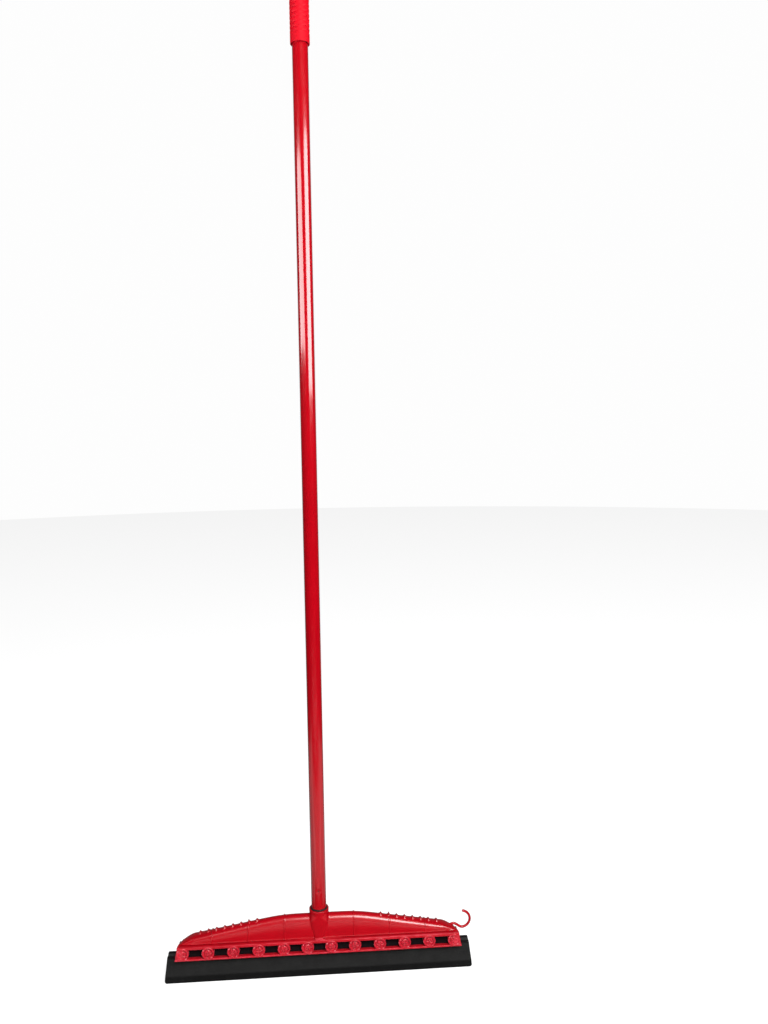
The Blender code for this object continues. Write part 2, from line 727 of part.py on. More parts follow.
def hook_arc_point(degrees):
    a = math.radians(degrees)
    return Vector((HOOK_CENTRE_X + HOOK_ARC_R * math.cos(a), 0.0,
                   HOOK_CENTRE_Z + HOOK_ARC_R * math.sin(a)))


def hook_route():
    """Centre line of the hook: root, small hump, then most of a circle, in the XZ plane."""
    first, last = -84, 76
    start = hook_arc_point(first)
    rise = HOOK_ROOT_OUTSIDE + Vector((0.0055, 0.0, 0.0005))
    dip = start + Vector((-0.0059, 0.0, 0.0004))
    route = [HOOK_ROOT_INSIDE, HOOK_ROOT_OUTSIDE]
    route += [bezier(HOOK_ROOT_OUTSIDE, rise, dip, start, i / 6) for i in range(1, 7)]
    steps = 14
    return route + [hook_arc_point(first + (last - first) * i / steps)
                    for i in range(1, steps + 1)]


def make_hook():
    curve = bpy.data.curves.new("cloth_hook", "CURVE")
    curve.dimensions = "3D"
    curve.bevel_depth = HOOK_WIRE_R
    curve.bevel_resolution = 2
    curve.use_fill_caps = True
    curve.render_resolution_u = 0
    route = hook_route()
    spline = curve.splines.new("POLY")
    spline.points.add(len(route) - 1)
    for point, place in zip(spline.points, route):
        point.co = (*place, 1.0)
    wire = bpy.data.objects.new("hook_wire", curve)
    PARTS.objects.link(wire)
    bpy.context.view_layer.update()
    graph = bpy.context.evaluated_depsgraph_get()
    mesh = bpy.data.meshes.new_from_object(wire.evaluated_get(graph))
    bpy.data.objects.remove(wire, do_unlink=True)
    bm = bmesh.new()
    bm.from_mesh(mesh)
    bpy.data.meshes.remove(mesh)
    bmesh.ops.remove_doubles(bm, verts=bm.verts, dist=0.00001)
    hook = solid("cloth_hook", bm, PARTS)
    bm = bmesh.new()
    bmesh.ops.create_uvsphere(bm, u_segments=12, v_segments=8, radius=HOOK_TIP_R)
    bmesh.ops.translate(bm, verts=bm.verts, vec=route[-1])
    combine(hook, solid("hook_tip", bm), "UNION")
    bake(hook)
    finish(hook, material("hook_plastic", RED_HEAD, 0.35))


def main():
    holes = rivet_holes()
    make_blade(holes)
    make_head(holes)
    make_rear_clamp(holes)
    make_rivets()
    make_washer()
    make_insert()
    make_tube()
    make_grip()
    make_hook()


main()
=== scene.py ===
import math

import bmesh
import bpy
import numpy as np
from mathutils import Matrix, Vector


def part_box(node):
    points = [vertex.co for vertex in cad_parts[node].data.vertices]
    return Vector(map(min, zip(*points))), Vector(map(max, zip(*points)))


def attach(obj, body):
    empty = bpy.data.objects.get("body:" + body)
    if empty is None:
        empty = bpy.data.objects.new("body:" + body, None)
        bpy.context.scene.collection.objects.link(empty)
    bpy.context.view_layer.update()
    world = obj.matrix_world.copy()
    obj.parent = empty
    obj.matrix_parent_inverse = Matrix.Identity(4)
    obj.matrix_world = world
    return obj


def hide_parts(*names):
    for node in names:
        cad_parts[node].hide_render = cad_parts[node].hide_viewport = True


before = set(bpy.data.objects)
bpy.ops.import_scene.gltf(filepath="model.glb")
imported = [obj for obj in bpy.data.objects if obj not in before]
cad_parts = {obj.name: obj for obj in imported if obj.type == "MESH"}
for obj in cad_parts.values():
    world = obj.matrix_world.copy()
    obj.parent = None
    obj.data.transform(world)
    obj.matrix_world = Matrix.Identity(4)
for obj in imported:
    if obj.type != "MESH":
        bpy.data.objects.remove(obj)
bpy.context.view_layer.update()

MM = 0.001
TAU = math.tau
FRONT = 1.5 * math.pi

# ---------------------------------------------------------------- places, from the frame
HEAD_LOW, HEAD_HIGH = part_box("head_shell")
LIP_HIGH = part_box("front_foam_lip")[1]
SPACER_LOW, SPACER_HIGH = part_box("centre_spacer")
CLAMP_LOW, CLAMP_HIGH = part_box("rear_clamp_bar")
WASHER_LOW, WASHER_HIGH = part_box("socket_washer")
TUBE_LOW, TUBE_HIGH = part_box("handle_tube")
INSERT_LOW, INSERT_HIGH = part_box("thread_insert")
GRIP_LOW, GRIP_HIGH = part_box("hand_grip")
RIVET_NODES = sorted(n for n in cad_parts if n.startswith("snap_rivet"))

# ---------------------------------------------------------------- design sizes of the head
FLANGE_BOTTOM = 50.2 * MM
FLANGE_TOP = 54.3 * MM
RAIL_FRONT = 16.5 * MM
RAIL_BACK = 9.8 * MM
RAIL_STRIP = 2.5 * MM
RAIL_HALF_TOP = 209.3 * MM
REAR_ROUND_CENTRE = (180 * MM, -16 * MM)
REAR_ROUND_RADII = (29.3 * MM, 34 * MM)
CLAMP_HALF = 204.5 * MM
DOME_TOP = 88.2 * MM
DOME_HALF_DEPTH = 11.5 * MM
DOME_FLAT_HALF = 56 * MM
DOME_FLAT_BLEND = 9 * MM
SHOULDER_SLOPE = 0.181
DOME_END_START = 184.4 * MM
DOME_END = 205 * MM
DOME_END_NARROWING = (0.15, 0.8)
DOME_END_POWER = 1.5
DOME_END_SLANT = 0.25
RIB_X = (51.5 * MM, 105 * MM, 158.5 * MM)
RIB_WIDTH = 1.8 * MM
RIB_HEIGHT = 1.0 * MM
SHELL_LEAST_HEIGHT = 0.3 * MM
SHELL_SIDE_TOP = 3.6 * MM
BEAD_DEPTH = 0.5 * MM
BEAD_Z = 1.9 * MM
BEAD_SPREAD = 0.6 * MM
SEAM_DEPTH = 1.1 * MM
SEAM_SPREAD = 0.7 * MM
TEETH_PER_SIDE = 8
TOOTH_START = 92.5 * MM
TOOTH_PITCH = 12.05 * MM
TOOTH_HEIGHT = 2.6 * MM
TOOTH_FRONT = -3 * MM
TOOTH_REAR = 7 * MM
TOOTH_CUSP = 1.4 * MM
TOOTH_FADE = 1.5 * MM
BOSS_R = 9.2 * MM
POCKET_R = 6.9 * MM
POCKET_DEPTH = 2.6 * MM
SHANK_R = 2.9 * MM
TIP_R = 5.4 * MM
REAR_BOSS_R = 5.8 * MM
CLAMP_WALL = 2.2 * MM
SOCKET_R = 14.6 * MM
WAIST_Z = 79 * MM
WAIST_R = 13.9 * MM
ROUND_Z = 92 * MM
FOOT_Z = 57.3 * MM
FOOT_HALF_WIDTH = 7.6 * MM
FOOT_HALF_DEPTH = 13.3 * MM
FOOT_FLARE = (0.9 * MM, 1.5 * MM)
FLARE_FADE = 1.3 * MM
FILLET_REACH = 0.8 * MM
FILLET_OVERLAP = 0.04 * MM
FILLET_LIMIT = 3.5 * MM
FILLET_ZONE = 30 * MM
EDGE_BEAD = 0.5 * MM
EDGE_BEAD_ANGLE = 0.055
PAD_HALF_WIDTH = 7.3 * MM
PAD_FRONT = 14.9 * MM
PAD_TOP = 57.6 * MM
PAD_DEPTH = 3.2 * MM
NUB_R = 1.15 * MM
BORE_R = 9.85 * MM
BORE_BOTTOM = 62 * MM
MOUTH_R = 12.3 * MM
MOUTH_DEPTH = 1.6 * MM
THREAD_PITCH = 5.08 * MM
THREAD_BOTTOM = 68.5 * MM
THREAD_TURNS = 4
THREAD_FADE = 1.5 * MM
THREAD_SHARES = (0.57, 0.33)
THREAD_CREST_R = 9.4 * MM
THREAD_CORE_R = 8.0 * MM
SOCKET_CREST_R = 8.35 * MM
LIP_THICKNESS = 6 * MM
LIP_INNER = 3.5 * MM
LIP_KNEE = 10 * MM
LIP_SPLAY = 7.1 * MM
EAR_TOP = 35.3 * MM
EAR_HALF_WIDTH = 224.5 * MM
REAR_EAR_HALF_WIDTH = 224.7 * MM
TALL_HALF_WIDTH = 208.6 * MM
LIP_CORNER_R = 3 * MM
LIP_EDGE_R = 0.6 * MM
LIP_SWAY = 0.12 * MM
TUBE_WALL = 0.7 * MM
CRIMP_Z = 127 * MM
GRIP_TOP = 1452 * MM
GRIP_PITCH = 6.4 * MM
GROOVE_DEPTH = 0.55 * MM
EYE_Z = 1467 * MM
EYE_TAB_R = 11 * MM
EYE_HOLE_R = 4.8 * MM
EYE_TAB_HALF_THICK = 3 * MM
EYE_TAB_MARGIN = 8 * MM
EYE_TAB_EDGE = 1.3 * MM
HOOK_ARC_R = 12.9 * MM
HOOK_CENTRE = Vector((214.6 * MM, 0.0, 67.2 * MM))
HOOK_WIRE_R = 1.9 * MM
HOOK_TIP_R = 2.1 * MM
CAMERA_PLACE = (0.0169, -1.2534, 0.8056)
CAMERA_PAN_PITCH_ROLL = (4.066, 5.309, 0.811)
CAMERA_LENS = 30.76
PLASTIC_IOR = 1.49


# ---------------------------------------------------------------- number helpers
def smoothstep(value, low, high):
    share = np.clip((value - low) / (high - low), 0.0, 1.0)
    return share * share * (3 - 2 * share)


def smooth_union(a, b, reach):
    """Union of two distance fields with a fillet about as wide as reach."""
    near = np.maximum(reach - np.abs(a - b), 0.0) / reach
    return np.minimum(a, b) - near * near * reach / 4


def spread(*runs, closest=0.15 * MM):
    """Sorted stations from (start, end, step) runs, with near doubles taken out."""
    values = np.sort(np.concatenate([np.linspace(a, b, max(int(round((b - a) / s)), 1) + 1)
                                     for a, b, s in runs]))
    kept = [values[0]]
    for value in values[1:]:
        if value - kept[-1] > closest:
            kept.append(value)
    return np.array(kept)


def round_corner(centre, radius, start, end, steps):
    """Points of an arc as (u, v), angles in degrees."""
    return [(centre[0] + radius * math.cos(math.radians(a)),
             centre[1] + radius * math.sin(math.radians(a)))
            for a in np.linspace(start, end, steps + 1)]


# ---------------------------------------------------------------- mesh helpers
def skin(rings, caps=True, closed_loop=False):
    """Bmesh through closed rings of points; the ends are capped or joined to each other."""
    rings = np.asarray(rings, float)
    if closed_loop:
        rings = np.concatenate([rings, rings[:1]])
    levels, count = rings.shape[:2]
    bm = bmesh.new()
    made = []
    for level, ring in enumerate(rings):
        if closed_loop and level == levels - 1:
            made.append(made[0])
        else:
            made.append([bm.verts.new(p) for p in ring])
    for low, high in zip(made, made[1:]):
        for i in range(count):
            j = (i + 1) % count
            bm.faces.new((low[i], low[j], high[j], high[i]))
    if caps and not closed_loop:
        bm.faces.new(list(reversed(made[0])))
        bm.faces.new(made[-1])
    bmesh.ops.recalc_face_normals(bm, faces=bm.faces)
    return bm


def turned_rings(profile, segments, radius=None):
    """Rings about Z for an (r, z) profile; radius(theta, r, z) may reshape each ring."""
    theta = np.arange(segments) * TAU / segments
    rings = []
    for r, z in profile:
        reach = np.full(segments, r) if radius is None else radius(theta, r, z)
        rings.append(np.stack([reach * np.cos(theta), reach * np.sin(theta),
                               np.full(segments, z)], axis=1))
    return np.array(rings)


def along_y(rings, x, z, turn=0.0):
    """Rings about Z laid down so that their +Z points to the front, centred on (x, z)."""
    cos, sin = math.cos(turn), math.sin(turn)
    across = rings[..., 0] * cos - rings[..., 1] * sin
    up = rings[..., 0] * sin + rings[..., 1] * cos
    return np.stack([across + x, -rings[..., 2], up + z], axis=-1)


def prism(outline, low, high, axis, bevel=0.0, segments=3):
    """Extrude an outline along X, Y or Z and round every edge of it."""
    def place(point, along):
        coords = list(point)
        coords.insert("XYZ".index(axis), along)
        return coords

    bm = skin([[place(p, low) for p in outline], [place(p, high) for p in outline]])
    sharp = [e for e in bm.edges if e.calc_face_angle(0.0) > 0.4]
    if bevel:
        bmesh.ops.bevel(bm, geom=sharp, offset=bevel, segments=segments, profile=0.5,
                        affect="EDGES", clamp_overlap=True)
    return bm


def joined(parts):
    """One bmesh out of several closed ones."""
    whole = bmesh.new()
    for part in parts:
        mesh = bpy.data.meshes.new("part")
        part.to_mesh(mesh)
        part.free()
        whole.from_mesh(mesh)
        bpy.data.meshes.remove(mesh)
    return whole


def add_piece(name, bm, mat, body, replaced=(), angle=40):
    """Turn a bmesh into a finished piece that rides on a body."""
    mesh = bpy.data.meshes.new(name)
    bm.to_mesh(mesh)
    bm.free()
    mesh.materials.append(mat)
    mesh.shade_smooth()
    mesh.set_sharp_from_angle(angle=math.radians(angle))
    obj = bpy.data.objects.new(name, mesh)
    bpy.context.scene.collection.objects.link(obj)
    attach(obj, body)
    if replaced:
        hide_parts(*replaced)
    return obj


# ---------------------------------------------------------------- materials
class Shader:
    """A Principled material with its nodes laid out by short calls."""

    def __init__(self, name):
        self.mat = bpy.data.materials.new(name)
        self.mat.use_nodes = True
        self.tree = self.mat.node_tree
        self.out = self.tree.nodes["Principled BSDF"]
        self.coords = self.add("ShaderNodeTexCoord").outputs["Object"]

    def add(self, kind, **settings):
        made = self.tree.nodes.new(kind)
        for key, value in settings.items():
            setattr(made, key, value)
        return made

    def link(self, source, target):
        self.tree.links.new(source, target)

    def set(self, **values):
        for key, value in values.items():
            self.out.inputs[key.replace("_", " ")].default_value = value

    def stretched(self, scale):
        """Object coordinates scaled by axis, for drawn-out patterns."""
        mapping = self.add("ShaderNodeMapping")
        mapping.inputs["Scale"].default_value = scale
        self.link(self.coords, mapping.inputs["Vector"])
        return mapping.outputs["Vector"]

    def noise(self, scale, detail=2.0, roughness=0.5, vector=None):
        made = self.add("ShaderNodeTexNoise")
        made.inputs["Scale"].default_value = scale
        made.inputs["Detail"].default_value = detail
        made.inputs["Roughness"].default_value = roughness
        self.link(vector or self.coords, made.inputs["Vector"])
        return made.outputs["Fac"]

    def cells(self, scale):
        made = self.add("ShaderNodeTexVoronoi")
        made.inputs["Scale"].default_value = scale
        self.link(self.coords, made.inputs["Vector"])
        return made.outputs["Distance"]

    def remap(self, value, low, high, new_low, new_high):
        made = self.add("ShaderNodeMapRange", interpolation_type="SMOOTHSTEP")
        for key, number in zip(("From Min", "From Max", "To Min", "To Max"),
                               (low, high, new_low, new_high)):
            made.inputs[key].default_value = number
        self.link(value, made.inputs["Value"])
        return made.outputs["Result"]

    def mix(self, share, first, second):
        """Blend two colours, each a tuple or a socket."""
        made = self.add("ShaderNodeMix", data_type="RGBA")
        self.link(share, made.inputs["Factor"])
        for key, colour in (("A", first), ("B", second)):
            socket = [s for s in made.inputs if s.name == key and s.type == "RGBA"][0]
            if isinstance(colour, tuple):
                socket.default_value = (*colour, 1.0)
            else:
                self.link(colour, socket)
        return [s for s in made.outputs if s.type == "RGBA"][0]

    def math(self, operation, first, second):
        made = self.add("ShaderNodeMath", operation=operation)
        for socket, value in zip(made.inputs, (first, second)):
            if isinstance(value, float):
                socket.default_value = value
            else:
                self.link(value, socket)
        return made.outputs["Value"]

    def bump(self, height, distance, strength=1.0, under=None):
        made = self.add("ShaderNodeBump")
        made.inputs["Strength"].default_value = strength
        made.inputs["Distance"].default_value = distance
        self.link(height, made.inputs["Height"])
        if under is not None:
            self.link(under, made.inputs["Normal"])
        return made.outputs["Normal"]

    def edges(self, low, high):
        """0 on flat faces and 1 on outward edges, from the mesh's own curvature."""
        geometry = self.add("ShaderNodeNewGeometry")
        return self.remap(geometry.outputs["Pointiness"], low, high, 0.0, 1.0)


def shade(colour, factor):
    return tuple(c * factor for c in colour)


def moulded_plastic(name, colour, roughness, edge_wear_and_highlight_colour, grain=0.00004):
    """Injection-moulded plastic: fine grain, faint flow clouds, and lighter outward edges that are
    partly rubbing wear and partly a painted highlight.
    """
    s = Shader(name)
    clouds = s.remap(s.noise(28.0, 3.0, 0.6), 0.3, 0.7, 0.0, 1.0)
    base = s.mix(clouds, shade(colour, 0.95), shade(colour, 1.05))
    patches = s.remap(s.noise(160.0, 3.0), 0.35, 0.65, 0.3, 1.0)
    # Lighter outward edges: partly rubbing wear, partly a painted highlight standing in for the
    # glints on ribs, teeth and rims.
    edge_wear_and_highlight = s.math("MULTIPLY", s.edges(0.52, 0.60), patches)
    s.link(s.mix(s.math("MULTIPLY", edge_wear_and_highlight, 0.5), base, edge_wear_and_highlight_colour), s.out.inputs["Base Color"])
    scuffs = s.noise(1.0, 4.0, 0.65, s.stretched((60.0, 60.0, 300.0)))
    s.link(s.remap(scuffs, 0.35, 0.7, roughness - 0.01, roughness + 0.02),
           s.out.inputs["Roughness"])
    grain_normal = s.bump(s.noise(1900.0, 2.0), grain, 0.6)
    s.link(s.bump(s.noise(60.0, 1.0), 0.00004, 0.12, grain_normal), s.out.inputs["Normal"])
    return s


def head_plastic():
    s = moulded_plastic("head_plastic", (0.295, 0.0003, 0.0045), 0.24, (0.62, 0.07, 0.10))
    s.set(Specular_IOR_Level=0.5, IOR=PLASTIC_IOR)
    return s.mat


def rail_plastic():
    s = moulded_plastic("rail_plastic", (0.315, 0.0003, 0.0046), 0.34, (0.60, 0.055, 0.085))
    s.set(Specular_IOR_Level=0.28, IOR=PLASTIC_IOR)
    return s.mat


def rivet_plastic():
    # Painted sheen: the same red plastic as the head, given a pinker base and edge colour to stand
    # in for the highlights on the rounded rims of bosses and rivets.
    s = moulded_plastic("rivet_plastic", (0.38, 0.008, 0.019), 0.28, (0.85, 0.26, 0.30))
    s.set(Specular_IOR_Level=0.5, IOR=PLASTIC_IOR)
    return s.mat


def grip_plastic():
    s = moulded_plastic("grip_plastic", (0.41, 0.0020, 0.009), 0.50, (0.50, 0.010, 0.024), 0.00006)
    s.set(Specular_IOR_Level=0.08)
    return s.mat


def tube_enamel():
    """Sprayed and stoved enamel: deep red under a clear gloss with slight orange peel."""
    s = Shader("tube_enamel")
    clouds = s.remap(s.noise(1.0, 3.0, 0.6, s.stretched((40.0, 40.0, 6.0))), 0.3, 0.7, 0.0, 1.0)
    base = s.mix(clouds, (0.285, 0.0003, 0.0038), (0.315, 0.0005, 0.0046))
    specks = s.remap(s.noise(420.0, 2.0), 0.66, 0.74, 0.0, 0.35)
    s.link(s.mix(specks, base, (0.23, 0.002, 0.005)), s.out.inputs["Base Color"])
    s.link(s.remap(s.noise(55.0, 3.0), 0.3, 0.7, 0.14, 0.18), s.out.inputs["Roughness"])
    peel = s.bump(s.noise(330.0, 2.0), 0.00005, 0.35)
    drawn = s.noise(1.0, 2.0, 0.5, s.stretched((900.0, 900.0, 5.0)))
    s.link(s.bump(drawn, 0.00002, 0.25, peel), s.out.inputs["Normal"])
    s.set(Specular_IOR_Level=0.5, Coat_Weight=1.0, Coat_Roughness=0.10, Coat_IOR=1.5)
    return s.mat


def foam_rubber():
    """Closed-cell foam rubber: matt black with cloudy tone and roughness, open cut cells with
    painted shade in the pores, faint dust, painted shade towards the bottom edge and a reddish
    painted shadow where the rail covers it.
    """
    s = Shader("foam_rubber")
    cells = s.cells(1500.0)
    clouds = s.remap(s.noise(60.0, 4.0, 0.6), 0.3, 0.7, 0.0, 1.0)
    foam_tone = s.mix(clouds, (0.0056, 0.0056, 0.0055), (0.0100, 0.0100, 0.0098))
    foam_height = s.add("ShaderNodeSeparateXYZ")
    s.link(s.coords, foam_height.inputs["Vector"])
    # Painted shade: darker towards the bottom edge, where the foam faces down away from the lamps.
    band = s.remap(foam_height.outputs["Z"], 0.0090, 0.0125, 0.0, 1.0)
    # Painted shadow: above the rail's lower edge the foam sits in the rail's shadow, painted darker
    # with a reddish painted bounce light from the red plastic.
    painted_rail_shadow = s.remap(foam_height.outputs["Z"], 0.0336, 0.0350, 0.0, 1.0)
    base = s.mix(painted_rail_shadow, s.mix(band, (0.0026, 0.0026, 0.0026), foam_tone), (0.0026, 0.0010, 0.0016))
    speck = s.remap(s.noise(900.0, 3.0, 0.7), 0.60, 0.74, 0.0, 1.0)
    dusty = s.mix(s.math("MULTIPLY", speck, 0.7), base, (0.036, 0.036, 0.035))
    # Painted shade in the pores: the cell centres are darker than the cell walls; the same pattern
    # also drives the pore bump.
    pit_depth_and_shade = s.remap(cells, 0.0, 0.35, 0.0, 1.0)
    s.link(s.mix(pit_depth_and_shade, (0.0025, 0.0025, 0.0025), dusty), s.out.inputs["Base Color"])
    s.link(s.remap(clouds, 0.0, 1.0, 0.78, 0.9), s.out.inputs["Roughness"])
    pores = s.bump(pit_depth_and_shade, 0.00018, 0.7)
    s.link(s.bump(s.noise(220.0, 3.0), 0.00025, 0.5, pores), s.out.inputs["Normal"])
    s.set(Specular_IOR_Level=0.16, Sheen_Weight=0.02, Sheen_Roughness=0.5)
    return s.mat


def black_material(name, level, roughness, grain_scale, grain):
    s = Shader(name)
    clouds = s.remap(s.noise(120.0, 3.0), 0.3, 0.7, 0.0, 1.0)
    s.link(s.mix(clouds, (level, level, level), (level * 1.5, level * 1.5, level * 1.5)),
           s.out.inputs["Base Color"])
    s.link(s.remap(s.noise(300.0, 2.0), 0.3, 0.7, roughness - 0.06, roughness + 0.06),
           s.out.inputs["Roughness"])
    s.link(s.bump(s.noise(grain_scale, 2.0), grain, 0.6), s.out.inputs["Normal"])
    return s.mat


MATERIALS = {
    "head_plastic": head_plastic(),
    "rail_plastic": rail_plastic(),
    "rivet_plastic": rivet_plastic(),
    "grip_plastic": grip_plastic(),
    "tube_enamel": tube_enamel(),
    "foam_rubber": foam_rubber(),
    "spacer_plastic": black_material("spacer_plastic", 0.014, 0.55, 900.0, 0.00005),
    "washer_rubber": black_material("washer_rubber", 0.004, 0.70, 1400.0, 0.00006),
    "insert_plastic": black_material("insert_plastic", 0.012, 0.42, 1100.0, 0.00004),
}


# ---------------------------------------------------------------- arched shell
def shoulder_height(x):
    past = (np.abs(x) - DOME_FLAT_HALF) / DOME_FLAT_BLEND
    ramp = DOME_FLAT_BLEND * (np.log1p(np.exp(-np.abs(past))) + np.maximum(past, 0.0))
    return DOME_TOP - SHOULDER_SLOPE * ramp


def end_fraction(x):
    return np.clip((np.abs(x) - DOME_END_START) / (DOME_END - DOME_END_START), 0.0, 1.0)


def crest_height(x):
    drop = (1 - end_fraction(x) ** DOME_END_POWER) ** (1 / DOME_END_POWER)
    return FLANGE_TOP + (shoulder_height(x) - FLANGE_TOP) * drop


def half_depth(x, side=0):
    """Depth of the shell before (0) or behind (1) its middle plane."""
    return DOME_HALF_DEPTH * (1 - DOME_END_NARROWING[side] * end_fraction(x) ** 2)


def rib_raise(x):
    """Height of the thin ribs that cross the shell, with rounded flanks."""
    past = min(abs(abs(x) - rib) for rib in RIB_X)
    return RIB_HEIGHT * smoothstep(-past, -RIB_WIDTH * 0.6, -RIB_WIDTH * 0.3)


def tooth_raise(x, y):
    """Height of the cloth teeth: small cusps with hollow scallops between them."""
    along = abs(x) - TOOTH_START
    nearest = min(max(round(along / TOOTH_PITCH), 0), TEETH_PER_SIDE - 1)
    past = abs(along - nearest * TOOTH_PITCH)
    cusp = math.exp(-(past / TOOTH_CUSP) ** 2)
    scallop = max(1 - past / (TOOTH_PITCH / 2), 0.0) ** 2.2
    across = (smoothstep(y, TOOTH_FRONT - TOOTH_FADE, TOOTH_FRONT + TOOTH_FADE)
              * (1 - smoothstep(y, TOOTH_REAR - TOOTH_FADE, TOOTH_REAR + TOOTH_FADE)))
    return TOOTH_HEIGHT * (0.85 * cusp + 0.15 * scallop) * across


def shell_ring(x, side_steps=9, arch_steps=30):
    """Cross-section of the shell at x: an undercut seam and bead at the foot, then the arch."""
    raised = rib_raise(x)
    depth = half_depth(x) + raised
    height = max(crest_height(x) - FLANGE_TOP + raised, SHELL_LEAST_HEIGHT)
    side_top = min(SHELL_SIDE_TOP, 0.4 * height)
    side = np.linspace(0.0, 1.0, side_steps) ** 1.3 * side_top
    side_y = depth * np.sqrt(1 - (side / height) ** 4)
    first = math.atan2(side[-1] / height, side_y[-1] / depth)
    angle = np.linspace(first, math.pi / 2, arch_steps + 1)[1:]
    c2, s4 = np.cos(angle) ** 2, np.sin(angle) ** 4
    reach = np.sqrt((np.sqrt(c2 * c2 + 4 * s4) - c2) / (2 * s4))
    y = np.concatenate([side_y, depth * reach * np.cos(angle)])
    z = np.concatenate([side, height * reach * np.sin(angle)])
    bead = BEAD_DEPTH * np.exp(-((z - BEAD_Z) / BEAD_SPREAD) ** 2)
    seam = SEAM_DEPTH * np.exp(-(z / SEAM_SPREAD) ** 2)
    y = np.maximum(y + (bead - seam) * min(height / (4 * MM), 1.0), 0.0)
    y = np.concatenate([-y, y[-2::-1] * half_depth(x, 1) / half_depth(x)])
    z = np.concatenate([z, z[-2::-1]]) + FLANGE_TOP
    slant = math.copysign(DOME_END_SLANT * end_fraction(x) ** 2, x)
    return np.stack([x - slant * y, y, z + tooth_raise(x, y)], axis=1)


def shell_field(p):
    """Distance to the arched shell, good close to its surface."""
    x, y, z = p[..., 0], p[..., 1], p[..., 2] - FLANGE_TOP
    depth, height = half_depth(x), crest_height(x) - FLANGE_TOP
    value = (y / depth) ** 2 + (z / height) ** 4 - 1
    slope = np.hypot(2 * y / depth ** 2, 4 * z ** 3 / height ** 4)
    return value / np.maximum(slope, 1e-6)


def socket_section(z):
    """Half width, half depth and squareness of the socket at height z."""
    share = np.clip((z - FOOT_Z) / (WAIST_Z - FOOT_Z), 0.0, 1.0)
    widen = np.clip((z - WAIST_Z) / (HEAD_HIGH.z - WAIST_Z), 0.0, 1.0) * (SOCKET_R - WAIST_R)
    flare = np.exp(-np.maximum(z - FLANGE_TOP, 0.0) / FLARE_FADE)
    width = FOOT_HALF_WIDTH + (WAIST_R - FOOT_HALF_WIDTH) * share + widen + FOOT_FLARE[0] * flare
    depth = FOOT_HALF_DEPTH + (WAIST_R - FOOT_HALF_DEPTH) * share + widen + FOOT_FLARE[1] * flare
    squareness = 5 - share - 2 * smoothstep(z, WAIST_Z, ROUND_Z)
    return width, depth, squareness


def socket_field(p):
    width, depth, power = socket_section(p[..., 2])
    x, y = np.abs(p[..., 0]), np.abs(p[..., 1])
    value = (x / width) ** power + (y / depth) ** power - 1
    slope = power * np.hypot(x ** (power - 1) / width ** power, y ** (power - 1) / depth ** power)
    return value / np.maximum(slope, 1e-6)


def fillet_to_socket(rings):
    """Push the shell outward around the socket so that the two meet in a fillet."""
    step = 0.01 * MM
    fields = [(shell_field(rings + step * axis) - shell_field(rings - step * axis))
              for axis in np.eye(3)]
    outward = np.stack(fields, axis=-1)
    outward /= np.linalg.norm(outward, axis=-1, keepdims=True)
    pushed = np.zeros(rings.shape[:-1])
    for _ in range(30):
        p = rings + outward * pushed[..., None]
        gap = smooth_union(shell_field(p), socket_field(p) + FILLET_OVERLAP, FILLET_REACH)
        pushed = np.clip(pushed - 0.8 * gap, 0.0, FILLET_LIMIT)
    return rings + outward * pushed[..., None]


def sink_under_bore(rings):
    """Drop the part of the shell inside the socket below the bore's bottom."""
    inside = np.hypot(rings[..., 0], rings[..., 1]) < (BORE_R + 1.1 * MM)
    rings[..., 2] = np.where(inside, np.minimum(rings[..., 2], BORE_BOTTOM - 1.0 * MM),
                             rings[..., 2])
    return rings


def make_shell():
    tooth_end = TOOTH_START + TOOTH_PITCH * (TEETH_PER_SIDE - 0.5)
    plain_end = 86 * MM
    half = [(0.0, FILLET_ZONE, 0.75 * MM), (FILLET_ZONE, plain_end, 4 * MM),
            (plain_end, tooth_end, 0.75 * MM), (tooth_end, DOME_END_START, 1.5 * MM)]
    half += [(rib - RIB_WIDTH, rib + RIB_WIDTH, 0.4 * MM) for rib in RIB_X]
    stations = spread(*half)
    bends = np.sin(np.linspace(0.0, math.pi / 2, 25)[1:])
    nose = DOME_END_START + (DOME_END - DOME_END_START) * bends
    half = np.concatenate([stations, nose[nose < DOME_END - 0.01 * MM], [DOME_END - 0.01 * MM]])
    x = np.concatenate([-half[:0:-1], half])
    rings = np.array([shell_ring(v) for v in x])
    middle = np.abs(x) < 30.2 * MM
    rings[middle] = sink_under_bore(fillet_to_socket(rings[middle]))
    return add_piece("head_arch", skin(rings), MATERIALS["head_plastic"], "head",
                     ["head_shell"], 50)


# ---------------------------------------------------------------- handle socket
def thread_ridge(theta, z, phase):
    """0 at the root and 1 on the crest of a right-handed thread."""
    turn = (z - THREAD_BOTTOM) / THREAD_PITCH - (theta - phase) / TAU
    past = np.abs((turn + 0.5) % 1.0 - 0.5)
    root_share, crest_share = THREAD_SHARES
    ridge = smoothstep(-past, -root_share / 2, -crest_share / 2)
    top = THREAD_BOTTOM + THREAD_PITCH * THREAD_TURNS
    fade = smoothstep(z, THREAD_BOTTOM - THREAD_FADE, THREAD_BOTTOM + THREAD_FADE)
    return ridge * fade * (1 - smoothstep(z, top - THREAD_FADE, top + THREAD_FADE))


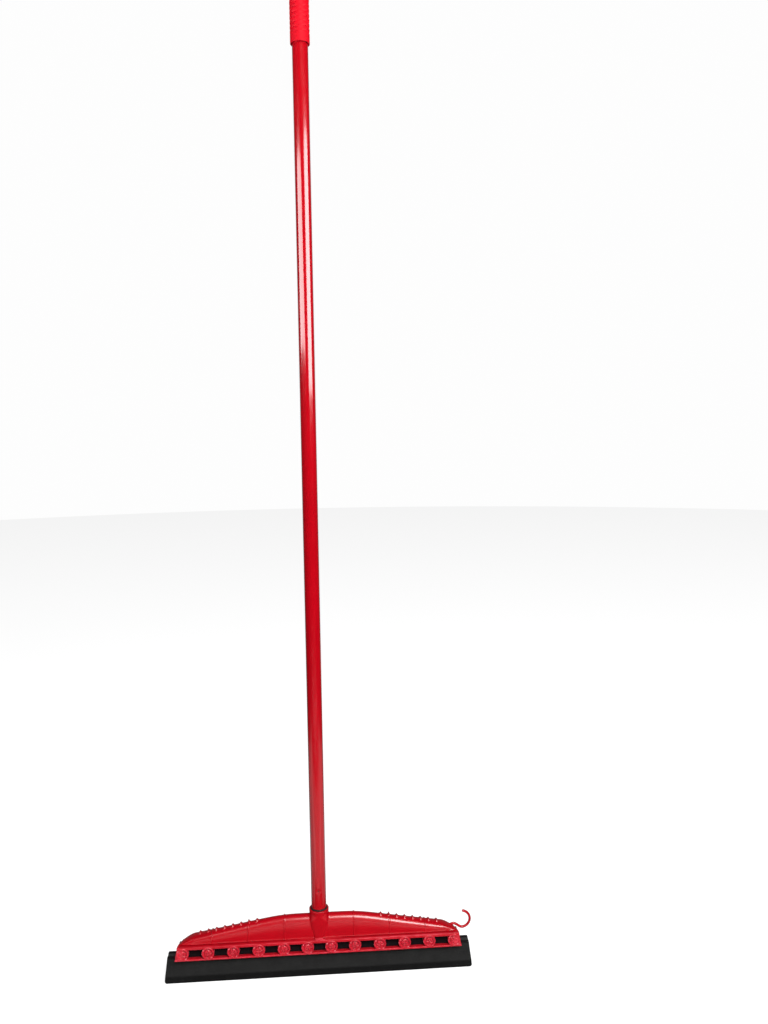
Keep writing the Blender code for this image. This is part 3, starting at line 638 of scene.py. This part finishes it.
def make_socket():
    segments = 192
    theta = np.arange(segments) * TAU / segments

    def outer(z, inset=0.0):
        width, depth, power = socket_section(z)
        reach = (np.abs(np.cos(theta) / width) ** power
                 + np.abs(np.sin(theta) / depth) ** power) ** (-1 / power) - inset
        aside = np.abs(theta - FRONT) - math.atan2(width, depth)
        fade = 1 - smoothstep(z, WAIST_Z - 5 * MM, WAIST_Z + 3 * MM)
        reach = reach + EDGE_BEAD * fade * np.exp(-(aside / EDGE_BEAD_ANGLE) ** 2)
        return np.stack([reach * np.cos(theta), reach * np.sin(theta), np.full(segments, z)], 1)

    top = HEAD_HIGH.z
    lip_r = 0.8 * MM
    rings = [outer(z) for z in spread((FLANGE_TOP - 0.4 * MM, FOOT_Z + 3 * MM, 0.5 * MM),
                                      (FOOT_Z + 3 * MM, top - lip_r, 1.2 * MM))]
    for a in np.radians(np.linspace(18, 90, 5)):
        rings.append(outer(top - lip_r + lip_r * math.sin(a), lip_r * (1 - math.cos(a))))
    ledge = top - MOUTH_DEPTH
    rim = 0.3 * MM
    profile = round_corner((MOUTH_R + rim, top - rim), rim, 90, 180, 3)
    profile += [(MOUTH_R, ledge), (BORE_R + rim, ledge), (BORE_R, ledge - rim)]
    profile += [(BORE_R, z) for z in spread((BORE_BOTTOM, ledge - 0.8 * MM, 0.5 * MM))[::-1]]
    profile += [(1 * MM, BORE_BOTTOM)]

    def bore(angles, r, z):
        if r != BORE_R:
            return np.full(len(angles), r)
        rise = thread_ridge(angles, z, math.pi)
        return r - (BORE_R - SOCKET_CREST_R) * rise

    rings += list(turned_rings(profile, segments, bore))
    add_piece("handle_socket", joined([skin(rings)] + foot_pad()), MATERIALS["head_plastic"],
              "head", angle=50)


def foot_pad():
    """Small pad under the socket's front with a round nub at each end."""
    low, back = FLANGE_TOP - 0.3 * MM, PAD_FRONT - PAD_DEPTH
    outline = [(-PAD_HALF_WIDTH, -PAD_FRONT), (PAD_HALF_WIDTH, -PAD_FRONT),
               (PAD_HALF_WIDTH, -back), (-PAD_HALF_WIDTH, -back)]
    profile = [(0.05 * MM, back), (NUB_R, back)]
    profile += round_corner((0.1 * MM, PAD_FRONT - 0.3 * MM), NUB_R - 0.1 * MM, 0, 88, 8)
    nub = turned_rings(profile, 24)
    height = PAD_TOP - NUB_R
    places = (-PAD_HALF_WIDTH + NUB_R, PAD_HALF_WIDTH - NUB_R)
    pad = prism(outline, low, height, "Z", 0.3 * MM)
    return [pad] + [skin(along_y(nub, x, height)) for x in places]


# ---------------------------------------------------------------- flange, rail and bosses
def rail_half_width(z):
    share = (z - HEAD_LOW.z) / (FLANGE_TOP - HEAD_LOW.z)
    return HEAD_HIGH.x + (RAIL_HALF_TOP - HEAD_HIGH.x) * share


def slanted_strip(z0, z1):
    a, b = rail_half_width(z0), rail_half_width(z1)
    return [(-a, z0), (a, z0), (b, z1), (-b, z1)]


def rivet_places():
    places = []
    for node in RIVET_NODES:
        low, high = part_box(node)
        places.append(((low.x + high.x) / 2, (low.z + high.z) / 2))
    return places


def flange_plan():
    """Top view of the flange: straight front, rear corners rounded like the arch's ends."""
    (x0, y0), (reach_x, reach_y) = REAR_ROUND_CENTRE, REAR_ROUND_RADII
    curve = [(x0 + reach_x * math.cos(a), min(y0 + reach_y * math.sin(a), RAIL_FRONT))
             for a in np.linspace(0.0, math.pi / 2, 15)]
    half = [(RAIL_HALF_TOP, -RAIL_FRONT)] + curve[1:]
    return half + [(-x, y) for x, y in reversed(half)]


def make_rail():
    bottom = HEAD_LOW.z
    strip_outline = slanted_strip(bottom, bottom + RAIL_STRIP)
    parts = [prism(flange_plan(), FLANGE_BOTTOM, FLANGE_TOP, "Z", 0.55 * MM),
             prism(strip_outline, -RAIL_FRONT, -RAIL_BACK, "Y", 0.5 * MM)]
    last_x = rivet_places()[-1][0]
    z0, z1 = bottom + 0.6 * MM, FLANGE_BOTTOM + 1 * MM
    for side in (-1, 1):
        outline = [(side * last_x, z0), (side * (rail_half_width(z0) - 0.35 * MM), z0),
                   (side * (rail_half_width(z1) - 0.35 * MM), z1), (side * last_x, z1)]
        parts.append(prism(outline, -RAIL_FRONT + 0.3 * MM, -RAIL_BACK, "Y", 0.3 * MM))
    add_piece("front_rail", joined(parts), MATERIALS["rail_plastic"], "head")


def make_bosses():
    front, back = -HEAD_LOW.y, RAIL_BACK
    floor = front - POCKET_DEPTH
    profile = [(SHANK_R + 0.3 * MM, back), (BOSS_R - 0.2 * MM, back), (BOSS_R, back + 0.2 * MM)]
    profile += round_corner((BOSS_R - 0.8 * MM, front - 0.8 * MM), 0.8 * MM, 0, 90, 5)
    profile += round_corner((POCKET_R + 0.45 * MM, front - 0.45 * MM), 0.45 * MM, 90, 180, 4)
    profile += round_corner((POCKET_R - 0.4 * MM, floor + 0.4 * MM), 0.4 * MM, 0, -90, 3)
    profile += [(SHANK_R + 0.5 * MM, floor), (SHANK_R + 0.3 * MM, floor - 0.3 * MM)]
    rings = turned_rings(profile, 56)
    parts = [skin(along_y(rings, x, z), closed_loop=True) for x, z in rivet_places()]
    add_piece("rivet_bosses", joined(parts), MATERIALS["rivet_plastic"], "head")


def rivet_tip_height(theta, r):
    """Split tip of a snap rivet: four round lobes, a cross slot and a centre pin."""
    slot = np.minimum(np.abs(r * np.cos(theta)), np.abs(r * np.sin(theta)))
    lobes = smoothstep(slot, 0.3 * MM, 0.8 * MM)
    crown = 1 - (r / TIP_R) ** 6
    pin = 0.75 * (1 - smoothstep(r, 0.7 * MM, 1.3 * MM))
    return np.maximum(lobes * crown, pin)


def make_rivets():
    segments = 64
    theta = np.arange(segments) * TAU / segments
    front, rear = -HEAD_LOW.y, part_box(RIVET_NODES[0])[1].y
    floor = front - POCKET_DEPTH + 0.3 * MM
    depth = front - floor
    head_face = rear - 1.8 * MM
    rng = np.random.default_rng(7)
    for node, (x, z) in zip(RIVET_NODES, rivet_places()):
        turn, tilt = rng.uniform(0, TAU), rng.uniform(0.8, 1.0)
        rings = []
        for r in np.linspace(0.03, 1.0, 15) ** 0.8 * TIP_R:
            top = floor + 0.15 * MM + (depth - 0.15 * MM) * tilt * rivet_tip_height(theta, r)
            rings.append(np.stack([r * np.cos(theta), r * np.sin(theta), top], 1))
        profile = [(TIP_R, floor), (SHANK_R, floor), (SHANK_R, -head_face)]
        profile += [(TIP_R - 0.15 * MM, -head_face), (TIP_R, -head_face - 0.15 * MM)]
        profile += round_corner((TIP_R - 0.9 * MM, -rear + 0.9 * MM), 0.9 * MM, 0, -90, 5)
        profile += [(1.9 * MM, -rear), (1.6 * MM, -rear + 0.35 * MM), (0.1 * MM, -rear + 0.35 * MM)]
        rings += list(turned_rings(profile, segments))
        bm = skin(along_y(np.array(rings), x, z, turn))
        add_piece(node.replace("snap_rivet", "rivet"), bm, MATERIALS["rivet_plastic"],
                  "head", [node], 60)


# ---------------------------------------------------------------- foam lips and spacer
def lip_inner(z):
    drop = np.clip((HEAD_LOW.z - z) / (HEAD_LOW.z - LIP_KNEE), 0.0, 1.0)
    tip = np.clip((LIP_KNEE - z) / LIP_KNEE, 0.0, 1.0)
    return LIP_INNER + LIP_SPLAY * drop ** 1.4 - 0.8 * MM * tip


def lip_outer(z):
    tip = np.clip((LIP_KNEE - z) / LIP_KNEE, 0.0, 1.0)
    return lip_inner(z) + LIP_THICKNESS + 0.3 * MM * tip


def strip_half_width(z, ear=EAR_HALF_WIDTH):
    """Front view of the blade: slanted ends and round bottom corners."""
    side = LIP_HIGH.x + (ear - LIP_HIGH.x) * max(z - LIP_CORNER_R, 0.0) / EAR_TOP
    drop = max(LIP_CORNER_R - z, 0.0)
    return side - LIP_CORNER_R + math.sqrt(LIP_CORNER_R ** 2 - drop ** 2)


def wave(x, seed):
    """Slow uneven bend of cut foam along the blade, within 1."""
    return (0.5 * np.sin(x * 31 + seed) + 0.3 * np.sin(x * 77 + 2.1 * seed)
            + 0.2 * np.sin(x * 163 + 3.7 * seed))


def strip_ring(z, half_width, inner, outer, corner_in, corner_out, inset):
    """Horizontal section of a strip: a long rectangle with rounded vertical edges."""
    x1, y0, y1 = half_width - inset, inner + inset, outer - inset
    r_out, r_in = max(corner_out - inset, 0.1 * MM), max(corner_in - inset, 0.1 * MM)
    long_x = np.linspace(1, -1, 61)[1:-1]
    ring = [(x * (x1 - r_out), y1) for x in long_x]
    ring += round_corner((-x1 + r_out, y1 - r_out), r_out, 90, 180, 6)
    ring += round_corner((-x1 + r_in, y0 + r_in), r_in, 180, 270, 3)
    ring += [(-x * (x1 - r_in), y0) for x in long_x]
    ring += round_corner((x1 - r_in, y0 + r_in), r_in, 270, 360, 3)
    ring += round_corner((x1 - r_out, y1 - r_out), r_out, 0, 90, 6)
    return np.array([(x, y, z) for x, y in ring])


def strip(levels, half_width, inner, outer, corners, edge, sway=0.0, seed=0.0):
    """Closed strip through horizontal sections, its top and bottom edges rounded."""
    low, high = levels[0], levels[-1]
    rings = []
    for z in levels:
        near = min(z - low, high - z, edge)
        inset = edge - math.sqrt(edge ** 2 - (edge - near) ** 2)
        ring = strip_ring(z, half_width(z), inner(z), outer(z), *corners, inset)
        loose = 1 - smoothstep(z, LIP_KNEE, HEAD_LOW.z)
        ring[:, 1] += sway * loose * wave(ring[:, 0], seed)
        rings.append(ring)
    return skin(rings)


def make_lips():
    edge = LIP_EDGE_R
    levels = spread((0.0, edge, 0.15 * MM), (edge, EAR_TOP - edge, 1.6 * MM),
                    (EAR_TOP - edge, EAR_TOP, 0.15 * MM), closest=0.05 * MM)
    tall = spread((EAR_TOP - 3 * MM, LIP_HIGH.z, 1.5 * MM))
    for name, node, side in (("front_lip", "front_foam_lip", -1), ("rear_lip", "rear_foam_lip", 1)):
        ear = EAR_HALF_WIDTH if side < 0 else REAR_EAR_HALF_WIDTH
        low = strip(levels, lambda z: strip_half_width(z, ear), lip_inner, lip_outer,
                    (0.6 * MM, 1.6 * MM), edge, LIP_SWAY, 1.3 * side)
        high = strip(tall, lambda z: TALL_HALF_WIDTH, lip_inner, lip_outer,
                     (0.3 * MM, 0.3 * MM), 0.3 * MM)
        bm = joined([low, high])
        if side < 0:
            bmesh.ops.scale(bm, vec=(1, -1, 1), verts=bm.verts)
            bmesh.ops.reverse_faces(bm, faces=bm.faces)
        lip = add_piece(name, bm, MATERIALS["foam_rubber"], "head", [node])


def make_spacer():
    half = SPACER_HIGH.y
    levels = spread((SPACER_LOW.z, EAR_TOP, 1.2 * MM))
    tall = spread((EAR_TOP - 3 * MM, SPACER_HIGH.z, 1.5 * MM))
    low = strip(levels, strip_half_width, lambda z: -half, lambda z: half,
                (0.5 * MM, 0.5 * MM), 0.4 * MM)
    high = strip(tall, lambda z: TALL_HALF_WIDTH, lambda z: -half, lambda z: half,
                 (0.3 * MM, 0.3 * MM), 0.3 * MM)
    add_piece("middle_strip", joined([low, high]), MATERIALS["spacer_plastic"],
              "head", ["centre_spacer"])


# ---------------------------------------------------------------- rear clamp
def make_clamp():
    bottom, top = CLAMP_LOW.z, CLAMP_HIGH.z
    front, back = CLAMP_LOW.y, CLAMP_HIGH.y
    web = front + CLAMP_WALL
    section = [(front, bottom), (back, bottom), (back, bottom + CLAMP_WALL),
               (web, bottom + CLAMP_WALL), (web, top - CLAMP_WALL), (back, top - CLAMP_WALL),
               (back, top), (front, top)]
    parts = [prism(section, -CLAMP_HALF, CLAMP_HALF, "X", 0.4 * MM)]
    profile = [(0.1 * MM, -back), (REAR_BOSS_R - 0.4 * MM, -back)]
    profile += round_corner((REAR_BOSS_R - 0.4 * MM, -back + 0.4 * MM), 0.4 * MM, -90, 0, 3)
    profile += [(REAR_BOSS_R, -front - 0.5 * MM), (0.1 * MM, -front - 0.5 * MM)]
    rings = turned_rings(profile, 40)
    places = rivet_places()
    parts += [skin(along_y(rings, x, z)) for x, z in places]
    rib = 0.7 * MM
    for (x0, _), (x1, _) in zip(places, places[1:]):
        middle = (x0 + x1) / 2
        outline = [(web - 0.3 * MM, bottom + 1 * MM), (back - 0.6 * MM, bottom + 1 * MM),
                   (back - 0.6 * MM, top - 1 * MM), (web - 0.3 * MM, top - 1 * MM)]
        parts.append(prism(outline, middle - rib, middle + rib, "X", 0.25 * MM, 2))
    add_piece("clamp_bar", joined(parts), MATERIALS["rail_plastic"], "head",
              ["rear_clamp_bar"])


# ---------------------------------------------------------------- cloth hook
def bezier(p0, p1, p2, p3, t):
    u = 1 - t
    return p0 * u ** 3 + p1 * 3 * u * u * t + p2 * 3 * u * t * t + p3 * t ** 3


def hook_route():
    """Centre line of the hook with its radius: straight root, small hump, open ring, ball tip."""
    inside = Vector((190.2 * MM, 0.0, 56.7 * MM))
    outside = Vector((201.5 * MM, 0.0, 60.7 * MM))
    first, last = math.radians(-84), math.radians(76)

    def on_arc(a):
        return HOOK_CENTRE + HOOK_ARC_R * Vector((math.cos(a), 0.0, math.sin(a)))

    start = on_arc(first)
    rise, dip = outside + Vector((5.5 * MM, 0, 0.5 * MM)), start + Vector((-5.9 * MM, 0, 0.4 * MM))
    route = [inside.lerp(outside, t) for t in np.linspace(0, 1, 10)]
    route += [bezier(outside, rise, dip, start, t) for t in np.linspace(0, 1, 15)[1:]]
    route += [on_arc(a) for a in np.linspace(first, last, 40)[1:]]
    radii = [HOOK_WIRE_R] * len(route)
    tip = route[-1]
    heading = (route[-1] - route[-2]).normalized()
    for a in np.linspace(-0.9, math.pi / 2 - 0.12, 9):
        route.append(tip + heading * (HOOK_TIP_R * math.sin(a)))
        radii.append(HOOK_TIP_R * math.cos(a))
    return route[:-10] + route[-9:], radii[:-10] + radii[-9:]


def make_hook():
    route, radii = hook_route()
    side = Vector((0.0, 1.0, 0.0))
    theta = np.arange(24) * TAU / 24
    rings = []
    for i, (centre, radius) in enumerate(zip(route, radii)):
        ahead = route[min(i + 1, len(route) - 1)] - route[max(i - 1, 0)]
        up = ahead.normalized().cross(side)
        rings.append([centre + side * (radius * math.cos(t)) + up * (radius * math.sin(t))
                      for t in theta])
    add_piece("hook", skin([[tuple(p) for p in ring] for ring in rings]),
              MATERIALS["head_plastic"], "head", ["cloth_hook"], 60)


# ---------------------------------------------------------------- washer, thread and handle
def make_washer():
    inner, outer = THREAD_CREST_R + 0.3 * MM, WASHER_HIGH.x
    low, high = WASHER_LOW.z, WASHER_HIGH.z
    edge = 0.5 * MM
    profile = round_corner((outer - edge, high - edge), edge, 0, 90, 4)
    profile += round_corner((inner + edge, high - edge), edge, 90, 180, 4)
    profile += [(inner, low), (outer, low)]
    add_piece("seal_washer", skin(turned_rings(profile, 72), closed_loop=True),
              MATERIALS["washer_rubber"], "washer", ["socket_washer"])


def make_insert():
    plug_r = TUBE_HIGH.x - TUBE_WALL - 0.3 * MM
    neck = THREAD_BOTTOM + THREAD_PITCH * (THREAD_TURNS + 0.75)
    plug = TUBE_LOW.z + 0.3 * MM
    profile = [(0.1 * MM, INSERT_LOW.z), (6.8 * MM, INSERT_LOW.z),
               (THREAD_CORE_R - 0.3 * MM, INSERT_LOW.z + 0.9 * MM)]
    profile += [(THREAD_CORE_R, z) for z in spread((INSERT_LOW.z + 1.3 * MM, neck, 0.4 * MM))]
    profile += [(THREAD_CREST_R - 0.2 * MM, neck + 0.7 * MM), (THREAD_CREST_R, neck + 1 * MM),
                (THREAD_CREST_R, plug), (plug_r, plug), (plug_r, INSERT_HIGH.z - 2 * MM),
                (9 * MM, INSERT_HIGH.z), (6.5 * MM, INSERT_HIGH.z), (6.5 * MM, 100 * MM),
                (0.1 * MM, 98 * MM)]

    def threaded(angles, r, z):
        if r != THREAD_CORE_R:
            return np.full(len(angles), r)
        return r + (THREAD_CREST_R - THREAD_CORE_R) * thread_ridge(angles, z, 0.0)

    plug_piece = skin(turned_rings(profile, 72, threaded))
    nub = [(0.1 * MM, 8 * MM), (1.2 * MM, 8 * MM)]
    nub += round_corner((0.8 * MM, TUBE_HIGH.x - 1.1 * MM), 0.4 * MM, 0, 90, 3)
    nub += [(0.1 * MM, TUBE_HIGH.x - 0.7 * MM)]
    nub_piece = skin(along_y(turned_rings(nub, 24), 0.0, CRIMP_Z))
    add_piece("screw_insert", joined([plug_piece, nub_piece]), MATERIALS["insert_plastic"],
              "handle", ["thread_insert"])


def make_tube():
    outer, inner = TUBE_HIGH.x, TUBE_HIGH.x - TUBE_WALL
    low, high = TUBE_LOW.z, TUBE_HIGH.z
    near, far = CRIMP_Z - 6 * MM, CRIMP_Z + 6 * MM
    profile = round_corner((outer - 0.35 * MM, low + 0.35 * MM), 0.35 * MM, -90, 0, 4)
    profile += [(outer, z) for z in spread((low + 2 * MM, near, 6 * MM), (near, far, 0.4 * MM),
                                           (far, high - 1 * MM, 60 * MM))]
    profile += round_corner((outer - 0.35 * MM, high - 0.35 * MM), 0.35 * MM, 0, 90, 3)
    profile += [(inner, high), (inner, low)]
    segments = 144

    def dimpled(angles, r, z):
        if abs(r - outer) > 0.01 * MM:
            return np.full(len(angles), r)
        aside = outer * np.abs((angles - FRONT + math.pi) % TAU - math.pi)
        away = np.hypot(aside, z - CRIMP_Z)
        dish = 0.35 * MM * (1 - smoothstep(away, 1.6 * MM, 4.5 * MM))
        punch = 1.2 * MM * (1 - smoothstep(away, 1.1 * MM, 1.7 * MM))
        return r - dish - punch

    rings = turned_rings(profile, segments, dimpled)
    add_piece("tube", skin(rings, closed_loop=True), MATERIALS["tube_enamel"],
              "handle", ["handle_tube"])


def groove(theta, z, low, high):
    """Soft helical groove of the grip, faded out at both ends."""
    past = np.abs((z / GRIP_PITCH - theta / TAU) % 1.0 - 0.5)
    cut = np.exp(-(past / 0.17) ** 2)
    return cut * smoothstep(z, low, low + 3 * MM) * (1 - smoothstep(z, high - 3 * MM, high))


def make_grip():
    outer, inner = GRIP_HIGH.x, TUBE_HIGH.x + 0.3 * MM
    low = GRIP_LOW.z
    groove_low, groove_high = low + 11.5 * MM, GRIP_TOP - 11 * MM
    closed = TUBE_HIGH.z + 2 * MM
    top_r = 2.5 * MM
    profile = [(0.1 * MM, closed), (inner, closed), (inner, low + 0.4 * MM),
               (inner + 0.4 * MM, low)]
    profile += round_corner((outer - 0.7 * MM, low + 0.7 * MM), 0.7 * MM, -90, 0, 4)
    profile += [(outer, z) for z in spread((low + 1.2 * MM, groove_low, 2 * MM),
                                           (groove_low, groove_high, 0.45 * MM),
                                           (groove_high, GRIP_TOP - top_r, 2 * MM))]
    profile += round_corner((outer - top_r, GRIP_TOP - top_r), top_r, 0, 90, 8)
    profile += [(0.1 * MM, GRIP_TOP)]

    def grooved(angles, r, z):
        if r != outer:
            return np.full(len(angles), r)
        return r - GROOVE_DEPTH * groove(angles, z, groove_low, groove_high)

    sleeve = skin(turned_rings(profile, 72, grooved))
    add_piece("grip", joined([sleeve, eye_tab()]), MATERIALS["grip_plastic"],
              "handle", ["hand_grip"])


def eye_tab():
    """Hanging eye: a flat tab with a hole, its edges rolled, swept as a closed band."""
    steps = 64
    half = min(GRIP_HIGH.z - EYE_Z - EYE_TAB_MARGIN, EYE_TAB_HALF_THICK)
    low = GRIP_TOP - 2 * MM
    edge = EYE_TAB_EDGE
    rings = []
    for i in range(steps):
        a = TAU * i / steps
        direction = Vector((math.cos(a), math.sin(a)))
        outer = EYE_TAB_R
        if direction.y < 0:
            down = (EYE_Z - low) / max(-direction.y, 1e-6)
            outer = min(EYE_TAB_R / max(abs(direction.x), 1e-6), down)
        band = []
        for centre, span in ((outer - edge, (-90, 90)), (EYE_HOLE_R + edge, (90, 270))):
            for side in np.linspace(*span, 9):
                b = math.radians(side)
                r = centre + edge * math.cos(b)
                y = (half - edge) * (1 if math.sin(b) > 0 else -1) + edge * math.sin(b)
                band.append((direction.x * r, y, EYE_Z + direction.y * r))
        rings.append(band)
    return skin(rings, closed_loop=True)


# ---------------------------------------------------------------- stage, light and camera
def make_floor():
    bpy.ops.mesh.primitive_circle_add(vertices=96, radius=8, fill_type="NGON")
    floor = bpy.context.object
    floor.name = "floor"
    floor.location.z = -0.0002
    mat = bpy.data.materials.new("floor_white")
    mat.use_nodes = True
    shader = mat.node_tree.nodes["Principled BSDF"]
    shader.inputs["Base Color"].default_value = (0.3, 0.3, 0.3, 1)
    shader.inputs["Roughness"].default_value = 0.9
    shader.inputs["Specular IOR Level"].default_value = 0.0
    shader.inputs["Emission Color"].default_value = (1, 1, 1, 1)
    shader.inputs["Emission Strength"].default_value = 0.86
    floor.data.materials.append(mat)
    floor.visible_glossy = False
    floor.visible_diffuse = False


def make_world():
    """White backdrop behind the object, a dim room on the camera's side."""
    world = bpy.data.worlds.new("studio")
    bpy.context.scene.world = world
    world.use_nodes = True
    tree = world.node_tree
    nodes, links = tree.nodes, tree.links
    nodes.clear()
    coords = nodes.new("ShaderNodeTexCoord")
    split = nodes.new("ShaderNodeSeparateXYZ")
    links.new(coords.outputs["Generated"], split.inputs["Vector"])
    glow = nodes.new("ShaderNodeMath")
    ramps = (("Y", (0.3, 0.95, 0.02, 0.24)), ("Z", (-0.35, -0.8, 0.0, 0.18)))
    for socket, (axis, limits) in enumerate(ramps):
        ramp = nodes.new("ShaderNodeMapRange")
        ramp.interpolation_type = "SMOOTHSTEP"
        for key, value in zip(("From Min", "From Max", "To Min", "To Max"), limits):
            ramp.inputs[key].default_value = value
        links.new(split.outputs[axis], ramp.inputs["Value"])
        links.new(ramp.outputs["Result"], glow.inputs[socket])
    room = nodes.new("ShaderNodeBackground")
    links.new(glow.outputs["Value"], room.inputs["Strength"])
    seen = nodes.new("ShaderNodeBackground")
    seen.inputs["Color"].default_value = (0.985, 0.985, 0.985, 1)
    path = nodes.new("ShaderNodeLightPath")
    mix = nodes.new("ShaderNodeMixShader")
    links.new(path.outputs["Is Camera Ray"], mix.inputs["Fac"])
    links.new(room.outputs["Background"], mix.inputs[1])
    links.new(seen.outputs["Background"], mix.inputs[2])
    out = nodes.new("ShaderNodeOutputWorld")
    links.new(mix.outputs["Shader"], out.inputs["Surface"])


def softbox(name, azimuth, distance, height, size, power, aim_z, mirrored=True):
    """Area light standing at an azimuth from the front, positive to the right."""
    light = bpy.data.lights.new(name, "AREA")
    light.shape = "RECTANGLE"
    light.size, light.size_y = size
    light.energy = power
    lamp = bpy.data.objects.new(name, light)
    lamp.visible_camera = False
    lamp.visible_glossy = mirrored
    bpy.context.scene.collection.objects.link(lamp)
    a = math.radians(azimuth)
    lamp.location = (distance * math.sin(a), -distance * math.cos(a), height)
    towards = Vector((0, 0, aim_z)) - lamp.location
    lamp.rotation_euler = towards.to_track_quat("-Z", "Y").to_euler()


def make_lights():
    softbox("right_softbox", 50, 0.85, 1.20, (0.87, 0.60), 15, 1.20)
    softbox("left_softbox", -56, 0.9, 1.25, (1.17, 0.56), 14, 1.65)
    softbox("arch_key", 18, 5.35, 6.0, (3.3, 2.6), 560, 0.08)
    softbox("front_fill", 5, 0.7, 0.14, (1.0, 0.24), 6, 0.12, False)
    softbox("front_bounce", 0, 0.43, 0.002, (2.0, 0.42), 0.9, 3000)
    softbox("right_bounce", 90, 0.57, 0.002, (0.76, 0.76), 0.6, 3000)
    softbox("left_bounce", -90, 0.57, 0.002, (0.76, 0.76), 0.6, 3000)


def make_camera():
    """Standing viewer a little right of the handle, looking slightly down and to the right."""
    pan, pitch, roll = (math.radians(a) for a in CAMERA_PAN_PITCH_ROLL)
    forward = Vector((math.sin(pan) * math.cos(pitch), math.cos(pan) * math.cos(pitch),
                      -math.sin(pitch)))
    level = Vector((math.cos(pan), -math.sin(pan), 0.0))
    upright = level.cross(forward)
    side = level * math.cos(roll) - upright * math.sin(roll)
    top = level * math.sin(roll) + upright * math.cos(roll)
    data = bpy.data.cameras.new("camera")
    data.sensor_fit = "VERTICAL"
    data.sensor_width = 36
    data.sensor_height = 36
    data.lens = CAMERA_LENS
    camera = bpy.data.objects.new("camera", data)
    bpy.context.scene.collection.objects.link(camera)
    camera.matrix_world = Matrix((side, top, -forward)).transposed().to_4x4()
    camera.location = CAMERA_PLACE
    bpy.context.scene.camera = camera


def main():
    make_shell()
    make_socket()
    make_rail()
    make_bosses()
    make_rivets()
    make_lips()
    make_spacer()
    make_clamp()
    make_hook()
    make_washer()
    make_insert()
    make_tube()
    make_grip()
    make_floor()
    make_world()
    make_lights()
    make_camera()
    bpy.context.scene.view_settings.view_transform = "Standard"


main()
